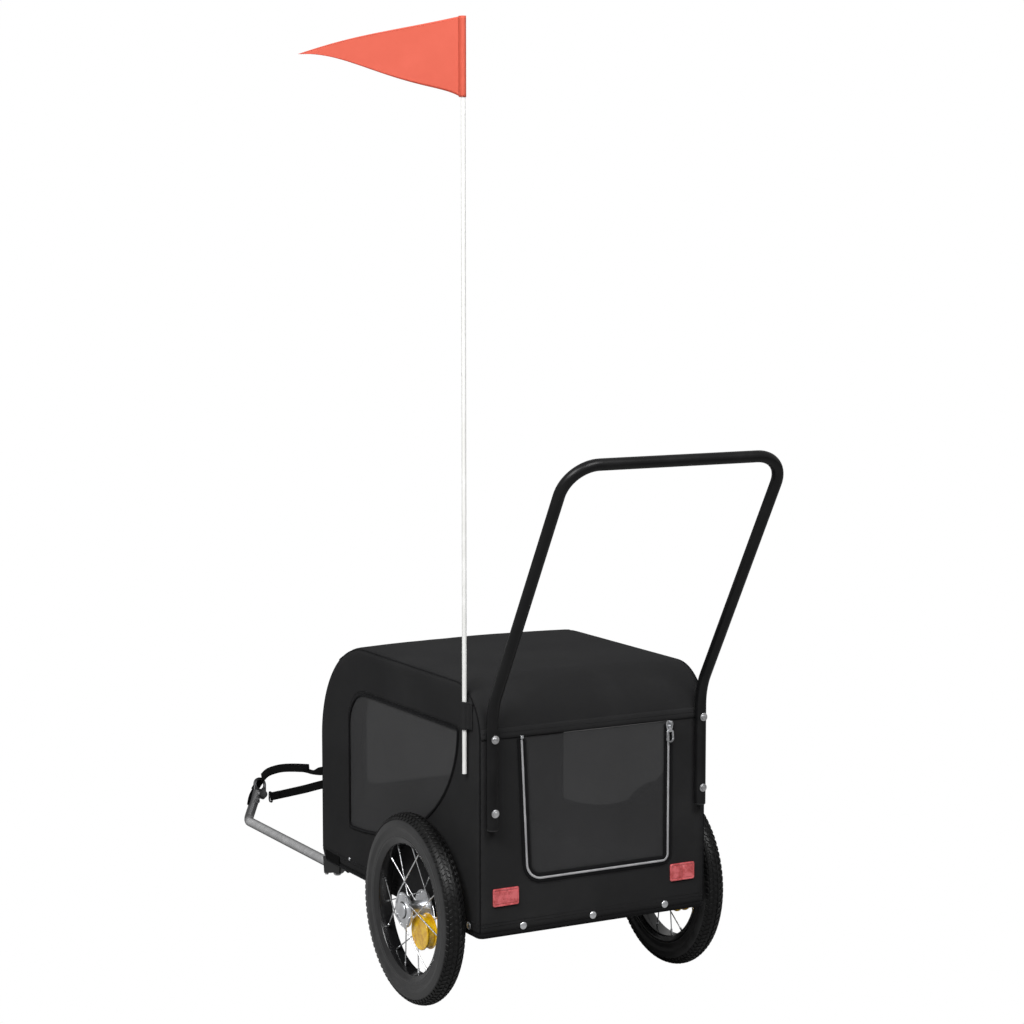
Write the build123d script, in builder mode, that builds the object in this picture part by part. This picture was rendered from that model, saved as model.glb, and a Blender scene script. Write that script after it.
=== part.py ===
"""Pet bike trailer: a cloth cabin on a steel frame, two spoked wheels, a drawbar and a push handle.

The pieces are drawn as the trailer is towed: level, the axle along X, the drawbar towards -Y, Z up, with
zero on the ground below the middle of the axle.  At the end the whole trailer is set down as it parks,
nose down on its wheels and on the elbow of the drawbar.
"""

from build123d import *
import os
from math import asin, atan2, cos, degrees, hypot, radians, sin, sqrt

# ---- driving dimensions, millimetres and degrees ---------------------------------------------------

# wheels
wheel_diameter = 305
tyre_width = 39
tyre_height = 38
bead_width = 31
rim_depth = 11
rim_floor = 24
rim_wall = 2
rim_lip = 4
rim_lip_step = 0.5
spoke_count = 16
spoke_diameter = 2.0
spoke_circle = 49
spoke_turn = 7.0
spoke_lacing = 90
spoke_hole_ease = 0.25
spoke_off_flange = 0.3
spoke_elbow = 1.6
spoke_knee = 8
spoke_head = 3.6
spoke_head_length = 1.2
spoke_head_proud = 0.2
nipple_diameter = 3.6
nipple_length = 7.5
nipple_stagger = 1.5
hub_flange = 56
hub_flange_thickness = 3
hub_flange_spacing = 35
hub_barrel = 24
hub_width = 40
hub_seal = 30
reflector_diameter = 57
reflector_angle = -38
reflector_reach = 46
reflector_disc = 4
reflector_spacing = 11
reflector_core = 23
reflector_grip = 0.15
axle_diameter = 12
axle_clearance = 0.05
axle_hole_ease = 1
axle_inside_hoop = 14
axle_end_play = 0.6
axle_head = 24
axle_head_length = 2

# the cabin, outside the cloth; front and rear are measured from the axle, the hem from its height
body_width = 412
body_front = -417
body_rear = 162
hem_below_axle = 13.5
body_height = 390.5
front_radius = 175
rear_radius = 82
side_radius = 10
hem_radius = 12
hem_width = 20
cloth = 2.0
seat_gap = 0.3
cut_margin = 1
body_to_tyre = 11
panel_seam_inset = 6

# the doors and windows, with heights measured up from the hem
rear_seam_rise = 308
front_seam_rise = 356
rear_door_width = 266
rear_door_rise = 83
front_door_width = 250
front_door_rise = 111
door_corner = 24
door_gap = 0.8
window_front_margin = 120
window_rear_margin = 69.5
window_top_rise = 313
window_bottom_rise = 83
window_shoulder = 62
mesh = 1.0

# the steel frame
floor_tube = 19
hoop_tube = 16
cross_tube = 14
hoop_inside_body = 18
floor_corner = 26
floor_board = 4
cross_tube_margin = 167
front_roof_tube_angle = 75
rear_roof_tube_angle = 45
drill_clearance = 0.2

# push handle, with heights measured up from the hem
handle_tube = 18
handle_wall = 1.5
handle_low_rise = 171.5
handle_bend_rise = 358
handle_rise = 746
handle_reach = 398
handle_corner = 52
handle_lean_radius = 100
handle_bolt = 6
handle_bolt_rises = (198, 311)
bolt_head = 9.6
bolt_head_height = 3
bolt_nut = 10.8
bolt_nut_height = 5
bolt_tip = 6

# flag
pole_diameter = 7
pole_off_body = 6
pole_before_rear = 36
pole_low_rise = 252
pole_top_rise = 1394
sleeve_low_rise = 321
sleeve_high_rise = 364
flag_hoist = 118
flag_length = 246
flag_direction = -29
flag_drop = 0.53
flag_cloth = 1.0

# drawbar and hitch
drawbar_tube = 17
drawbar_inside_body = 19
drawbar_slack = 2.2
drawbar_tail = 39
drawbar_reach = 368
elbow_radius = 15
hitch_inwards = 37
hitch_forwards = 29
hitch_rise = 59
hitch_hole = 14
hitch_plate = 5
hitch_width = 25
hitch_tail = 30
hitch_shoulder = 3
hitch_bolt_diameter = 6
hitch_bolt_head = 10.2
hitch_bolt_head_height = 3
bracket_before_body = 28
bracket_under_body = 42
bracket_wall = 3
bracket_depth = 30
floor_panel_gap = 1
drawbar_bolt = 8
drawbar_bolt_under_body = 25
lock_pin = 6
lock_pin_before_body = 19
lock_pin_grip = 10.8
lock_pin_grip_height = 13
lock_pin_collar = 9.6
drawbar_bolt_nut = 14.4
pin_end = 5
pin_proud = 1
pin_join = 3

# webbing: heights are measured up from the hitch eye
strap_width = 15
strap_thickness = 2
strap_bend = 60
strap_points = ((14, 19), (69, 56), (204, 80))
strap_end_rise = 66
tail_inwards = 9
tail_points = ((39, -15), (174, 21))
tail_end_rise = 96
ring_point = (30, -19)
ring_wire = 3
ring_length = 16
ring_corner = 5

# rear reflectors
tail_reflector_width = 45
tail_reflector_height = 28
tail_reflector_thickness = 3
tail_reflector_inside_body = 45.5
tail_reflector_rise = 61

# ---- sizes worked out from them --------------------------------------------------------------------

wheel_radius = wheel_diameter / 2
bead_diameter = wheel_diameter - 2 * tyre_height
rim_inner_diameter = bead_diameter - 2 * rim_depth
half_track = body_width / 2 + body_to_tyre + tyre_width / 2
half_body = body_width / 2
half_hoop = half_body - hoop_inside_body
body_bottom = wheel_radius - hem_below_axle
body_top = body_bottom + body_height
rear_seam = body_bottom + rear_seam_rise
front_seam = body_bottom + front_seam_rise
rear_door_bottom = body_bottom + rear_door_rise
front_door_bottom = body_bottom + front_door_rise
window_front = body_front + window_front_margin
window_rear = body_rear - window_rear_margin
window_top = body_bottom + window_top_rise
window_bottom = body_bottom + window_bottom_rise
handle_low_end = body_bottom + handle_low_rise
handle_bend = body_bottom + handle_bend_rise
handle_height = body_bottom + handle_rise
handle_bolt_heights = [body_bottom + rise for rise in handle_bolt_rises]
pole_side = half_body + pole_off_body
pole_place = body_rear - pole_before_rear
pole_low_end = body_bottom + pole_low_rise
pole_top = body_bottom + pole_top_rise
sleeve_low = body_bottom + sleeve_low_rise
sleeve_high = body_bottom + sleeve_high_rise
tail_reflector_side = half_body - tail_reflector_inside_body
tail_reflector_centre = body_bottom + tail_reflector_rise
floor_tube_inset = cloth + seat_gap + floor_tube / 2
floor_tube_side = half_body - floor_tube_inset
floor_tube_height = body_bottom + floor_tube_inset
floor_tube_top = floor_tube_height + floor_tube / 2
hoop_inset = cloth + seat_gap + hoop_tube / 2
hoop_front = body_front + hoop_inset
hoop_rear = body_rear - hoop_inset
hoop_top = body_top - hoop_inset
hoop_foot = floor_tube_top + seat_gap
handle_place = body_rear + seat_gap + handle_tube / 2
seam_side = half_body - panel_seam_inset
window_cut = 3 * cloth
front_centre = Vector(body_front + front_radius, body_top - front_radius)
rear_centre = Vector(body_rear - rear_radius, body_top - rear_radius)

pieces = {}


def keep(name, shape):
    """Name a finished piece and put it with the others."""
    shape.label = name
    pieces[name] = shape


# ---- the cloth cabin -------------------------------------------------------------------------------


def cabin_profile(inset):
    """The cabin from the side: flat roof, big front curve, smaller rear one."""
    length = body_rear - body_front - 2 * inset
    height = body_top - body_bottom - 2 * inset
    with BuildSketch() as profile:
        with Locations(((body_front + body_rear) / 2, (body_bottom + body_top) / 2)):
            Rectangle(length, height)
        fillet(profile.vertices().group_by(Axis.Y)[-1].sort_by(Axis.X)[0], front_radius - inset)
        fillet(profile.vertices().group_by(Axis.Y)[-1].sort_by(Axis.X)[-1], rear_radius - inset)
        fillet(profile.vertices().group_by(Axis.Y)[0], hem_radius - inset)
    return profile.sketch


def cabin_solid(inset):
    """The cabin as a solid, with its side seams rounded."""
    with BuildPart() as solid:
        with BuildSketch(Plane.YZ):
            add(cabin_profile(inset))
        extrude(amount=half_body - inset, both=True)
        side_loops = solid.faces().filter_by(Axis.X).edges()
        fillet(side_loops, side_radius - inset)
    return solid.part


with BuildPart() as cabin_shell:
    add(cabin_solid(0))
    add(cabin_solid(cloth), mode=Mode.SUBTRACT)
    # the floor is open between the hems
    with BuildSketch(Plane.XY.offset(body_bottom - cut_margin)):
        with Locations((0, (body_front + body_rear) / 2)):
            RectangleRounded(
                body_width - 2 * hem_width, body_rear - body_front - 2 * hem_width, hem_width
            )
    extrude(amount=cloth + 2 * cut_margin, mode=Mode.SUBTRACT)


def door_outline(width, bottom, top):
    """A door opening from the front: straight sides and rounded lower corners."""
    with BuildSketch() as outline:
        with Locations((0, (bottom + top) / 2)):
            Rectangle(width, top - bottom)
        fillet(outline.vertices().group_by(Axis.Y)[0], door_corner)
    return outline.sketch


def window_outline(inset):
    """A side window: upright front edge, rounded shoulder, and a long sweep over the wheel."""
    low = window_bottom + inset
    high = window_top - inset
    front = window_front + inset
    rear = window_rear - inset
    with BuildSketch() as outline:
        with BuildLine():
            Line((front, low), (front, high))
            Line((front, high), (rear, high))
            EllipticalCenterArc((front, high), rear - front, high - low, start_angle=270, arc_size=90)
        make_face()
        fillet(outline.vertices().sort_by_distance((front, high))[0], window_shoulder)
    return outline.sketch


def bolt_drills(diameter):
    """The four holes of the handle bolts, which run along Y through the rear of the trailer."""
    spots = [(side * half_hoop, height) for side in (-1, 1) for height in handle_bolt_heights]
    start = handle_place + handle_tube
    with BuildPart() as drills:
        with BuildSketch(Plane.XZ.offset(-start)):
            with Locations(*spots):
                Circle(diameter / 2)
        extrude(amount=start - hoop_rear + hoop_tube)
    return drills.part


for side_name, side in (("left", 1), ("right", -1)):
    with BuildPart() as side_panel:
        add(cabin_shell.part)
        split(bisect_by=Plane.YZ.offset(side * seam_side), keep=Keep.TOP if side > 0 else Keep.BOTTOM)
        with BuildSketch(Plane.YZ.offset(side * half_body)):
            add(window_outline(0))
        extrude(amount=-side * window_cut, mode=Mode.SUBTRACT)
        # the axle comes out through the hem
        with BuildSketch(Plane.YZ.offset(side * half_body)):
            with Locations((0, wheel_radius)):
                Circle(axle_diameter / 2 + axle_hole_ease)
        extrude(amount=-side * window_cut, mode=Mode.SUBTRACT)
    keep(f"{side_name}_side_panel", side_panel.part)

    with BuildPart() as side_window:
        with BuildSketch(Plane.YZ.offset(side * (half_body - cloth / 2 - mesh / 2 * side))):
            add(window_outline(seat_gap))
        extrude(amount=mesh)
    keep(f"{side_name}_window", side_window.part)

with BuildPart() as middle_shell:
    add(cabin_shell.part)
    split(bisect_by=Plane.YZ.offset(seam_side), keep=Keep.BOTTOM)
    split(bisect_by=Plane.YZ.offset(-seam_side), keep=Keep.TOP)

with BuildPart() as rear_half:
    add(middle_shell.part)
    split(bisect_by=Plane.XZ, keep=Keep.BOTTOM)

with BuildPart() as front_half:
    add(middle_shell.part)
    split(bisect_by=Plane.XZ, keep=Keep.TOP)

with BuildPart() as rear_wall:
    add(rear_half.part)
    split(bisect_by=Plane.XY.offset(rear_seam), keep=Keep.BOTTOM)

with BuildPart() as front_wall:
    add(front_half.part)
    split(bisect_by=Plane.XY.offset(front_seam), keep=Keep.BOTTOM)

with BuildPart() as roof_panel:
    add(middle_shell.part)
    add(rear_wall.part, mode=Mode.SUBTRACT)
    add(front_wall.part, mode=Mode.SUBTRACT)
    add(bolt_drills(handle_bolt + 3 * drill_clearance), mode=Mode.SUBTRACT)
keep("roof_panel", roof_panel.part)

with BuildPart() as rear_panel:
    add(rear_wall.part)
    with BuildSketch(Plane.XZ.offset(-body_rear - cut_margin)):
        add(door_outline(rear_door_width, rear_door_bottom, rear_seam))
    extrude(amount=cloth + 2 * cut_margin, mode=Mode.SUBTRACT)
    add(bolt_drills(handle_bolt + 3 * drill_clearance), mode=Mode.SUBTRACT)
keep("rear_panel", rear_panel.part)

with BuildPart() as rear_door:
    add(rear_wall.part)
    with BuildSketch(Plane.XZ.offset(-body_rear - cut_margin)):
        add(
            door_outline(
                rear_door_width - 2 * door_gap, rear_door_bottom + door_gap, rear_seam - door_gap
            )
        )
    extrude(amount=cloth + 2 * cut_margin, mode=Mode.INTERSECT)
keep("rear_door", rear_door.part)

with BuildPart() as front_panel:
    add(front_wall.part)
    with BuildSketch(Plane.XZ.offset(-body_front + cut_margin)):
        add(door_outline(front_door_width, front_door_bottom, front_seam))
    extrude(amount=-front_radius, mode=Mode.SUBTRACT)
keep("front_panel", front_panel.part)

with BuildPart() as front_door:
    add(front_wall.part)
    with BuildSketch(Plane.XZ.offset(-body_front + cut_margin)):
        add(
            door_outline(
                front_door_width - 2 * door_gap, front_door_bottom + door_gap, front_seam - door_gap
            )
        )
    extrude(amount=-front_radius, mode=Mode.INTERSECT)
keep("front_door", front_door.part)

# ---- the steel frame under the cloth ---------------------------------------------------------------

floor_front = body_front + floor_tube_inset
floor_rear = body_rear - floor_tube_inset

with BuildPart() as floor_frame:
    with BuildLine() as floor_path:
        FilletPolyline(
            (floor_tube_side, floor_front, floor_tube_height),
            (floor_tube_side, floor_rear, floor_tube_height),
            (-floor_tube_side, floor_rear, floor_tube_height),
            (-floor_tube_side, floor_front, floor_tube_height),
            radius=floor_corner,
            close=True,
        )
    with BuildSketch(Plane(origin=floor_path.line @ 0, z_dir=floor_path.line % 0)):
        Circle(floor_tube / 2)
    sweep()
    # holes for the stub axles
    with BuildSketch(Plane.YZ.offset(-half_body)):
        with Locations((0, wheel_radius)):
            Circle(axle_diameter / 2 + drill_clearance)
    extrude(amount=body_width, mode=Mode.SUBTRACT)
keep("floor_frame", floor_frame.part)

tube_between = 2 * (floor_tube_side - floor_tube / 2 - seat_gap)
axle_tube_diameter = 2 * (floor_tube_top - wheel_radius)

with BuildPart() as axle_tube:
    with BuildSketch(Plane.YZ.offset(-tube_between / 2)):
        with Locations((0, wheel_radius)):
            Circle(axle_tube_diameter / 2)
            Circle(axle_diameter / 2 + drill_clearance, mode=Mode.SUBTRACT)
    extrude(amount=tube_between)
keep("axle_tube", axle_tube.part)

with BuildPart() as floor_cross_tube:
    with BuildSketch(Plane.YZ.offset(-tube_between / 2)):
        with Locations((body_front + cross_tube_margin, floor_tube_height)):
            Circle(cross_tube / 2)
    extrude(amount=tube_between)
keep("floor_cross_tube", floor_cross_tube.part)

for side_name, side in (("left", 1), ("right", -1)):
    with BuildPart() as hoop:
        with BuildLine() as hoop_path:
            FilletPolyline(
                (side * half_hoop, hoop_front, hoop_foot),
                (side * half_hoop, hoop_front, hoop_top),
                (side * half_hoop, hoop_rear, hoop_top),
                (side * half_hoop, hoop_rear, hoop_foot),
                radius=(front_radius - hoop_inset, rear_radius - hoop_inset),
            )
        with BuildSketch(Plane.XY.offset(hoop_foot)):
            with Locations((side * half_hoop, hoop_front)):
                Circle(hoop_tube / 2)
        sweep()
        add(bolt_drills(handle_bolt + 2 * drill_clearance), mode=Mode.SUBTRACT)
    keep(f"{side_name}_hoop", hoop.part)

hoop_gap = 2 * (half_hoop - hoop_tube / 2 - seat_gap)
front_arc = front_radius - hoop_inset
rear_arc = rear_radius - hoop_inset
roof_tube_places = {
    "front_roof_tube": (
        front_centre.X - front_arc * cos(radians(front_roof_tube_angle)),
        front_centre.Y + front_arc * sin(radians(front_roof_tube_angle)),
    ),
    "rear_roof_tube": (
        rear_centre.X + rear_arc * cos(radians(rear_roof_tube_angle)),
        rear_centre.Y + rear_arc * sin(radians(rear_roof_tube_angle)),
    ),
}
for name, place in roof_tube_places.items():
    with BuildPart() as roof_tube:
        with BuildSketch(Plane.YZ.offset(-hoop_gap / 2)):
            with Locations(place):
                Circle(cross_tube / 2)
        extrude(amount=hoop_gap)
    keep(name, roof_tube.part)

board_side = half_hoop - hoop_tube / 2 - floor_panel_gap
with BuildPart() as floor_panel:
    with BuildSketch(Plane.XY.offset(floor_tube_top + seat_gap)):
        with Locations((0, (floor_front + floor_rear) / 2)):
            Rectangle(2 * board_side, floor_rear - floor_front)
            Rectangle(2 * floor_tube_side, floor_rear - floor_front - 2 * floor_corner)
    extrude(amount=floor_board)
keep("floor_panel", floor_panel.part)

# ---- wheels ----------------------------------------------------------------------------------------


def wheel_section(points):
    """A closed outline in the wheel's section: across the wheel, then out from the axle."""
    with BuildSketch() as section:
        with BuildLine():
            Polyline(*points, close=True)
        make_face()
    return section.sketch


def spoke_route(index):
    """Where one spoke runs from the wheel's middle: flange, hub hole, flange edge, rim."""
    flange = -1 if index % 2 == 0 else 1
    rim_angle = 360 / spoke_count * index + spoke_turn
    leading = (index // 2) % 2 == 0
    hub_angle = rim_angle - spoke_lacing if leading else rim_angle + spoke_lacing
    stand_off = hub_flange_thickness / 2 + spoke_diameter / 2 + spoke_off_flange
    across = flange * (hub_flange_spacing / 2 + (-stand_off if leading else stand_off))
    start = Vector(
        across,
        spoke_circle / 2 * cos(radians(hub_angle)),
        spoke_circle / 2 * sin(radians(hub_angle)),
    )
    end = Vector(
        flange * nipple_stagger,
        (rim_inner_diameter / 2 - seat_gap) * cos(radians(rim_angle)),
        (rim_inner_diameter / 2 - seat_gap) * sin(radians(rim_angle)),
    )
    # it lies along the flange as far as the edge, and turns there for the rim
    hole = Vector(0, start.Y, start.Z)
    heading = Vector(0, end.Y - start.Y, end.Z - start.Z).normalized()
    along = hole.dot(heading)
    clear = hub_flange / 2 + spoke_diameter / 2 + seat_gap
    knee = start + heading * (sqrt(along**2 - hole.length**2 + clear**2) - along)
    return flange, start, knee, end


def spoke_rod(middle, points, bends, diameter):
    """Spoke wire through these points, with its bends rounded."""
    with BuildPart() as rod:
        with BuildLine() as route:
            FilletPolyline(*[middle + point for point in points], radius=bends)
        with BuildSketch(Plane(origin=route.line @ 0, z_dir=route.line % 0)):
            Circle(diameter / 2)
        sweep()
    return rod.part


for side_name, side in (("left", 1), ("right", -1)):
    hub_middle = Vector(side * half_track, 0, wheel_radius)

    with BuildPart() as tyre:
        with BuildSketch(Plane(origin=hub_middle, x_dir=(1, 0, 0), z_dir=(0, -1, 0))) as section:
            crown = wheel_radius - tyre_width / 2
            bead = bead_diameter / 2 + seat_gap
            with BuildLine():
                RadiusArc((bead_width / 2, bead), (tyre_width / 2, crown), -(tyre_width * 0.75))
                ThreePointArc((tyre_width / 2, crown), (0, wheel_radius), (-tyre_width / 2, crown))
                RadiusArc((-tyre_width / 2, crown), (-bead_width / 2, bead), -(tyre_width * 0.75))
                Line((-bead_width / 2, bead), (bead_width / 2, bead))
            make_face()
        revolve(axis=Axis(hub_middle, (1, 0, 0)))
    keep(f"{side_name}_tyre", tyre.part)

    outer = bead_diameter / 2
    inner = rim_inner_diameter / 2
    with BuildPart() as rim:
        with BuildSketch(Plane(origin=hub_middle, x_dir=(1, 0, 0), z_dir=(0, -1, 0))):
            add(
                wheel_section(
                    [
                        (-bead_width / 2, outer),
                        (-bead_width / 2, outer - rim_lip),
                        (-rim_floor / 2, inner),
                        (rim_floor / 2, inner),
                        (bead_width / 2, outer - rim_lip),
                        (bead_width / 2, outer),
                        (bead_width / 2 - rim_wall, outer),
                        (bead_width / 2 - rim_wall, outer - rim_lip + rim_lip_step),
                        (rim_floor / 2 - rim_wall / 2, inner + rim_wall),
                        (-rim_floor / 2 + rim_wall / 2, inner + rim_wall),
                        (-bead_width / 2 + rim_wall, outer - rim_lip + rim_lip_step),
                        (-bead_width / 2 + rim_wall, outer),
                    ]
                )
            )
        revolve(axis=Axis(hub_middle, (1, 0, 0)))
    keep(f"{side_name}_rim", rim.part)

    with BuildPart() as hub:
        with BuildSketch(Plane(origin=hub_middle, x_dir=(1, 0, 0), z_dir=(0, -1, 0))):
            bore = axle_diameter / 2 + axle_clearance
            flange_in = hub_flange_spacing / 2 - hub_flange_thickness / 2
            flange_out = hub_flange_spacing / 2 + hub_flange_thickness / 2
            add(
                wheel_section(
                    [
                        (-hub_width / 2, bore),
                        (hub_width / 2, bore),
                        (hub_width / 2, hub_seal / 2),
                        (flange_out, hub_seal / 2),
                        (flange_out, hub_flange / 2),
                        (flange_in, hub_flange / 2),
                        (flange_in, hub_barrel / 2),
                        (-flange_in, hub_barrel / 2),
                        (-flange_in, hub_flange / 2),
                        (-flange_out, hub_flange / 2),
                        (-flange_out, hub_seal / 2),
                        (-hub_width / 2, hub_seal / 2),
                    ]
                )
            )
        revolve(axis=Axis(hub_middle, (1, 0, 0)))
        for index in range(spoke_count):
            flange, start = spoke_route(index)[:2]
            hole = Plane(
                origin=hub_middle + Vector(flange * (flange_in - cut_margin), start.Y, start.Z),
                z_dir=(flange, 0, 0),
            )
            with BuildSketch(hole):
                Circle(spoke_diameter / 2 + spoke_hole_ease)
            extrude(amount=hub_flange_thickness + 2 * cut_margin, mode=Mode.SUBTRACT)
    keep(f"{side_name}_hub", hub.part)

    with BuildPart() as spokes:
        for index in range(spoke_count):
            flange, start, knee, end = spoke_route(index)
            # its end is bent through the flange, with a head on the far face
            inwards = start.X * flange < hub_flange_spacing / 2
            through = Vector(flange if inwards else -flange, 0, 0)
            far_face = abs(start.X - flange * hub_flange_spacing / 2) + hub_flange_thickness / 2
            head = start + through * (far_face + spoke_head_proud)
            points = (head + through * spoke_head_length / 2, start, knee, end)
            add(spoke_rod(hub_middle, points, (spoke_elbow, spoke_knee), spoke_diameter))
            with BuildSketch(Plane(origin=hub_middle + head, z_dir=through)):
                Circle(spoke_head / 2)
            extrude(amount=spoke_head_length)
            # the nipple at the rim
            outwards = (end - knee).normalized()
            nipple_start = hub_middle + end - outwards * (nipple_length + seat_gap)
            with BuildSketch(Plane(origin=nipple_start, z_dir=outwards)):
                Circle(nipple_diameter / 2)
            extrude(amount=nipple_length)
    keep(f"{side_name}_spokes", spokes.part)

    reflector_middle = hub_middle + Vector(
        0,
        reflector_reach * cos(radians(reflector_angle)),
        reflector_reach * sin(radians(reflector_angle)),
    )
    with BuildPart() as reflector:
        for face in (-1, 1):
            at = reflector_middle + Vector(face * reflector_spacing / 2, 0, 0)
            with BuildSketch(Plane(origin=at, z_dir=(face, 0, 0))):
                Circle(reflector_diameter / 2)
            extrude(amount=reflector_disc)
        core = reflector_middle - Vector(reflector_spacing / 2, 0, 0)
        with BuildSketch(Plane(origin=core, z_dir=(1, 0, 0))):
            Circle(reflector_core / 2)
        extrude(amount=reflector_spacing)
        for index in range(spoke_count):
            points = spoke_route(index)[1:]
            groove = spoke_rod(hub_middle, points, spoke_knee, spoke_diameter + 2 * reflector_grip)
            add(groove, mode=Mode.SUBTRACT)
    keep(f"{side_name}_reflector", reflector.part)

    axle_in = half_hoop - axle_inside_hoop
    axle_out = half_track + hub_width / 2 + axle_end_play
    with BuildPart() as axle:
        with BuildSketch(Plane(origin=(side * axle_in, 0, wheel_radius), z_dir=(side, 0, 0))):
            Circle(axle_diameter / 2)
        extrude(amount=axle_out - axle_in)
        with BuildSketch(Plane(origin=(side * axle_out, 0, wheel_radius), z_dir=(side, 0, 0))):
            Circle(axle_head / 2)
        extrude(amount=axle_head_length)
    keep(f"{side_name}_axle", axle.part)

# ---- push handle -----------------------------------------------------------------------------------

with BuildPart() as handle_bar:
    with BuildLine() as handle_path:
        FilletPolyline(
            (half_hoop, handle_place, handle_low_end),
            (half_hoop, handle_place, handle_bend),
            (half_hoop, handle_reach, handle_height),
            (-half_hoop, handle_reach, handle_height),
            (-half_hoop, handle_place, handle_bend),
            (-half_hoop, handle_place, handle_low_end),
            radius=(handle_lean_radius, handle_corner, handle_corner, handle_lean_radius),
        )
    with BuildSketch(Plane.XY.offset(handle_low_end)):
        with Locations((half_hoop, handle_place)):
            Circle(handle_tube / 2)
            Circle(handle_tube / 2 - handle_wall, mode=Mode.SUBTRACT)
    sweep()
    add(bolt_drills(handle_bolt + 2 * drill_clearance), mode=Mode.SUBTRACT)
keep("handle_bar", handle_bar.part)

with BuildPart() as handle_bolts:
    head_place = handle_place + handle_tube / 2 + seat_gap
    nut_place = hoop_rear - hoop_tube / 2 - 3 * seat_gap
    shank = head_place + bolt_head_height / 2 - nut_place + bolt_tip
    for side in (-1, 1):
        for height in handle_bolt_heights:
            with BuildSketch(Plane(origin=(side * half_hoop, nut_place - bolt_tip, height), z_dir=(0, 1, 0))):
                Circle(handle_bolt / 2)
            extrude(amount=shank)
            with BuildSketch(Plane(origin=(side * half_hoop, head_place, height), z_dir=(0, 1, 0))):
                Circle(bolt_head / 2)
            extrude(amount=bolt_head_height)
            with BuildSketch(Plane(origin=(side * half_hoop, nut_place, height), z_dir=(0, -1, 0))):
                RegularPolygon(bolt_nut / 2, 6)
            extrude(amount=bolt_nut_height)
keep("handle_bolts", handle_bolts.part)

# ---- flag ------------------------------------------------------------------------------------------

with BuildPart() as flag_pole:
    with BuildSketch(Plane.XY.offset(pole_low_end)):
        with Locations((pole_side, pole_place)):
            Circle(pole_diameter / 2)
    extrude(amount=pole_top - pole_low_end)
keep("flag_pole", flag_pole.part)

with BuildPart() as pole_sleeve:
    sleeve_radius = pole_diameter / 2 + seat_gap + cloth
    sleeve_back = half_body + seat_gap
    with BuildSketch(Plane.XY.offset(sleeve_low)):
        with Locations((pole_side, pole_place)):
            Circle(sleeve_radius)
        with Locations(((pole_side + sleeve_back) / 2, pole_place)):
            Rectangle(pole_side - sleeve_back, 2 * sleeve_radius)
        with Locations((pole_side, pole_place)):
            Circle(pole_diameter / 2 + seat_gap, mode=Mode.SUBTRACT)
    extrude(amount=sleeve_high - sleeve_low)
keep("pole_sleeve", pole_sleeve.part)

flag_plane = Plane(
    origin=(pole_side, pole_place, pole_top - flag_hoist),
    x_dir=(cos(radians(flag_direction)), sin(radians(flag_direction)), 0),
    z_dir=(-sin(radians(flag_direction)), cos(radians(flag_direction)), 0),
)
with BuildPart() as flag:
    with BuildSketch(Plane.XY.offset(pole_top - flag_hoist)):
        with Locations((pole_side, pole_place)):
            Circle(pole_diameter / 2 + seat_gap + flag_cloth)
    extrude(amount=flag_hoist + seat_gap + flag_cloth)
    with BuildSketch(flag_plane):
        with BuildLine():
            # local Y points down the pole
            Polyline((0, 0), (flag_length, flag_drop * -flag_hoist), (0, -flag_hoist), close=True)
        make_face()
    extrude(amount=flag_cloth / 2, both=True)
    with BuildSketch(Plane.XY.offset(pole_top - flag_hoist)):
        with Locations((pole_side, pole_place)):
            Circle(pole_diameter / 2 + seat_gap)
    extrude(amount=flag_hoist + seat_gap, mode=Mode.SUBTRACT)
keep("flag", flag.part)

# ---- drawbar and hitch -----------------------------------------------------------------------------

bracket_top = body_bottom - seat_gap
bracket_front = body_front - bracket_before_body
bracket_rear = body_front + bracket_under_body
drawbar_side = half_body - drawbar_inside_body
drawbar_height = bracket_top - bracket_wall - drawbar_slack - drawbar_tube / 2
drawbar_rear = body_front + drawbar_tail
drawbar_bolt_place = body_front + drawbar_bolt_under_body
lock_pin_place = body_front - lock_pin_before_body
elbow_point = Vector(drawbar_side, body_front - drawbar_reach, drawbar_height)
hitch_point = elbow_point + Vector(-hitch_inwards, -hitch_forwards, hitch_rise)
riser = (hitch_point - elbow_point).normalized()
riser_end = hitch_point - riser * (hitch_width / 2 + hitch_shoulder)
# the eye plate stands across the riser, its hole looking along the road
eye_normal = (Vector(0, -1, 0) - riser * Vector(0, -1, 0).dot(riser)).normalized()
bolt_centre = hitch_point - riser * (hitch_tail + hitch_bolt_diameter)

with BuildPart() as drawbar:
    with BuildLine() as drawbar_path:
        FilletPolyline(
            (drawbar_side, drawbar_rear, drawbar_height),
            elbow_point,
            riser_end,
            radius=elbow_radius,
        )
    with BuildSketch(Plane(origin=(drawbar_side, drawbar_rear, drawbar_height), z_dir=(0, -1, 0))):
        Circle(drawbar_tube / 2)
    sweep()
    # holes for the pivot bolt and the lock pin
    with BuildSketch(Plane.XY.offset(drawbar_height - drawbar_tube)):
        with Locations((drawbar_side, drawbar_bolt_place)):
            Circle(drawbar_bolt / 2 + drill_clearance)
        with Locations((drawbar_side, lock_pin_place)):
            Circle(lock_pin / 2 + drill_clearance)
    extrude(amount=2 * drawbar_tube, mode=Mode.SUBTRACT)
    with BuildSketch(Plane(origin=bolt_centre - eye_normal * drawbar_tube, z_dir=eye_normal)):
        Circle(hitch_bolt_diameter / 2 + drill_clearance)
    extrude(amount=2 * drawbar_tube, mode=Mode.SUBTRACT)
keep("drawbar", drawbar.part)

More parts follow.
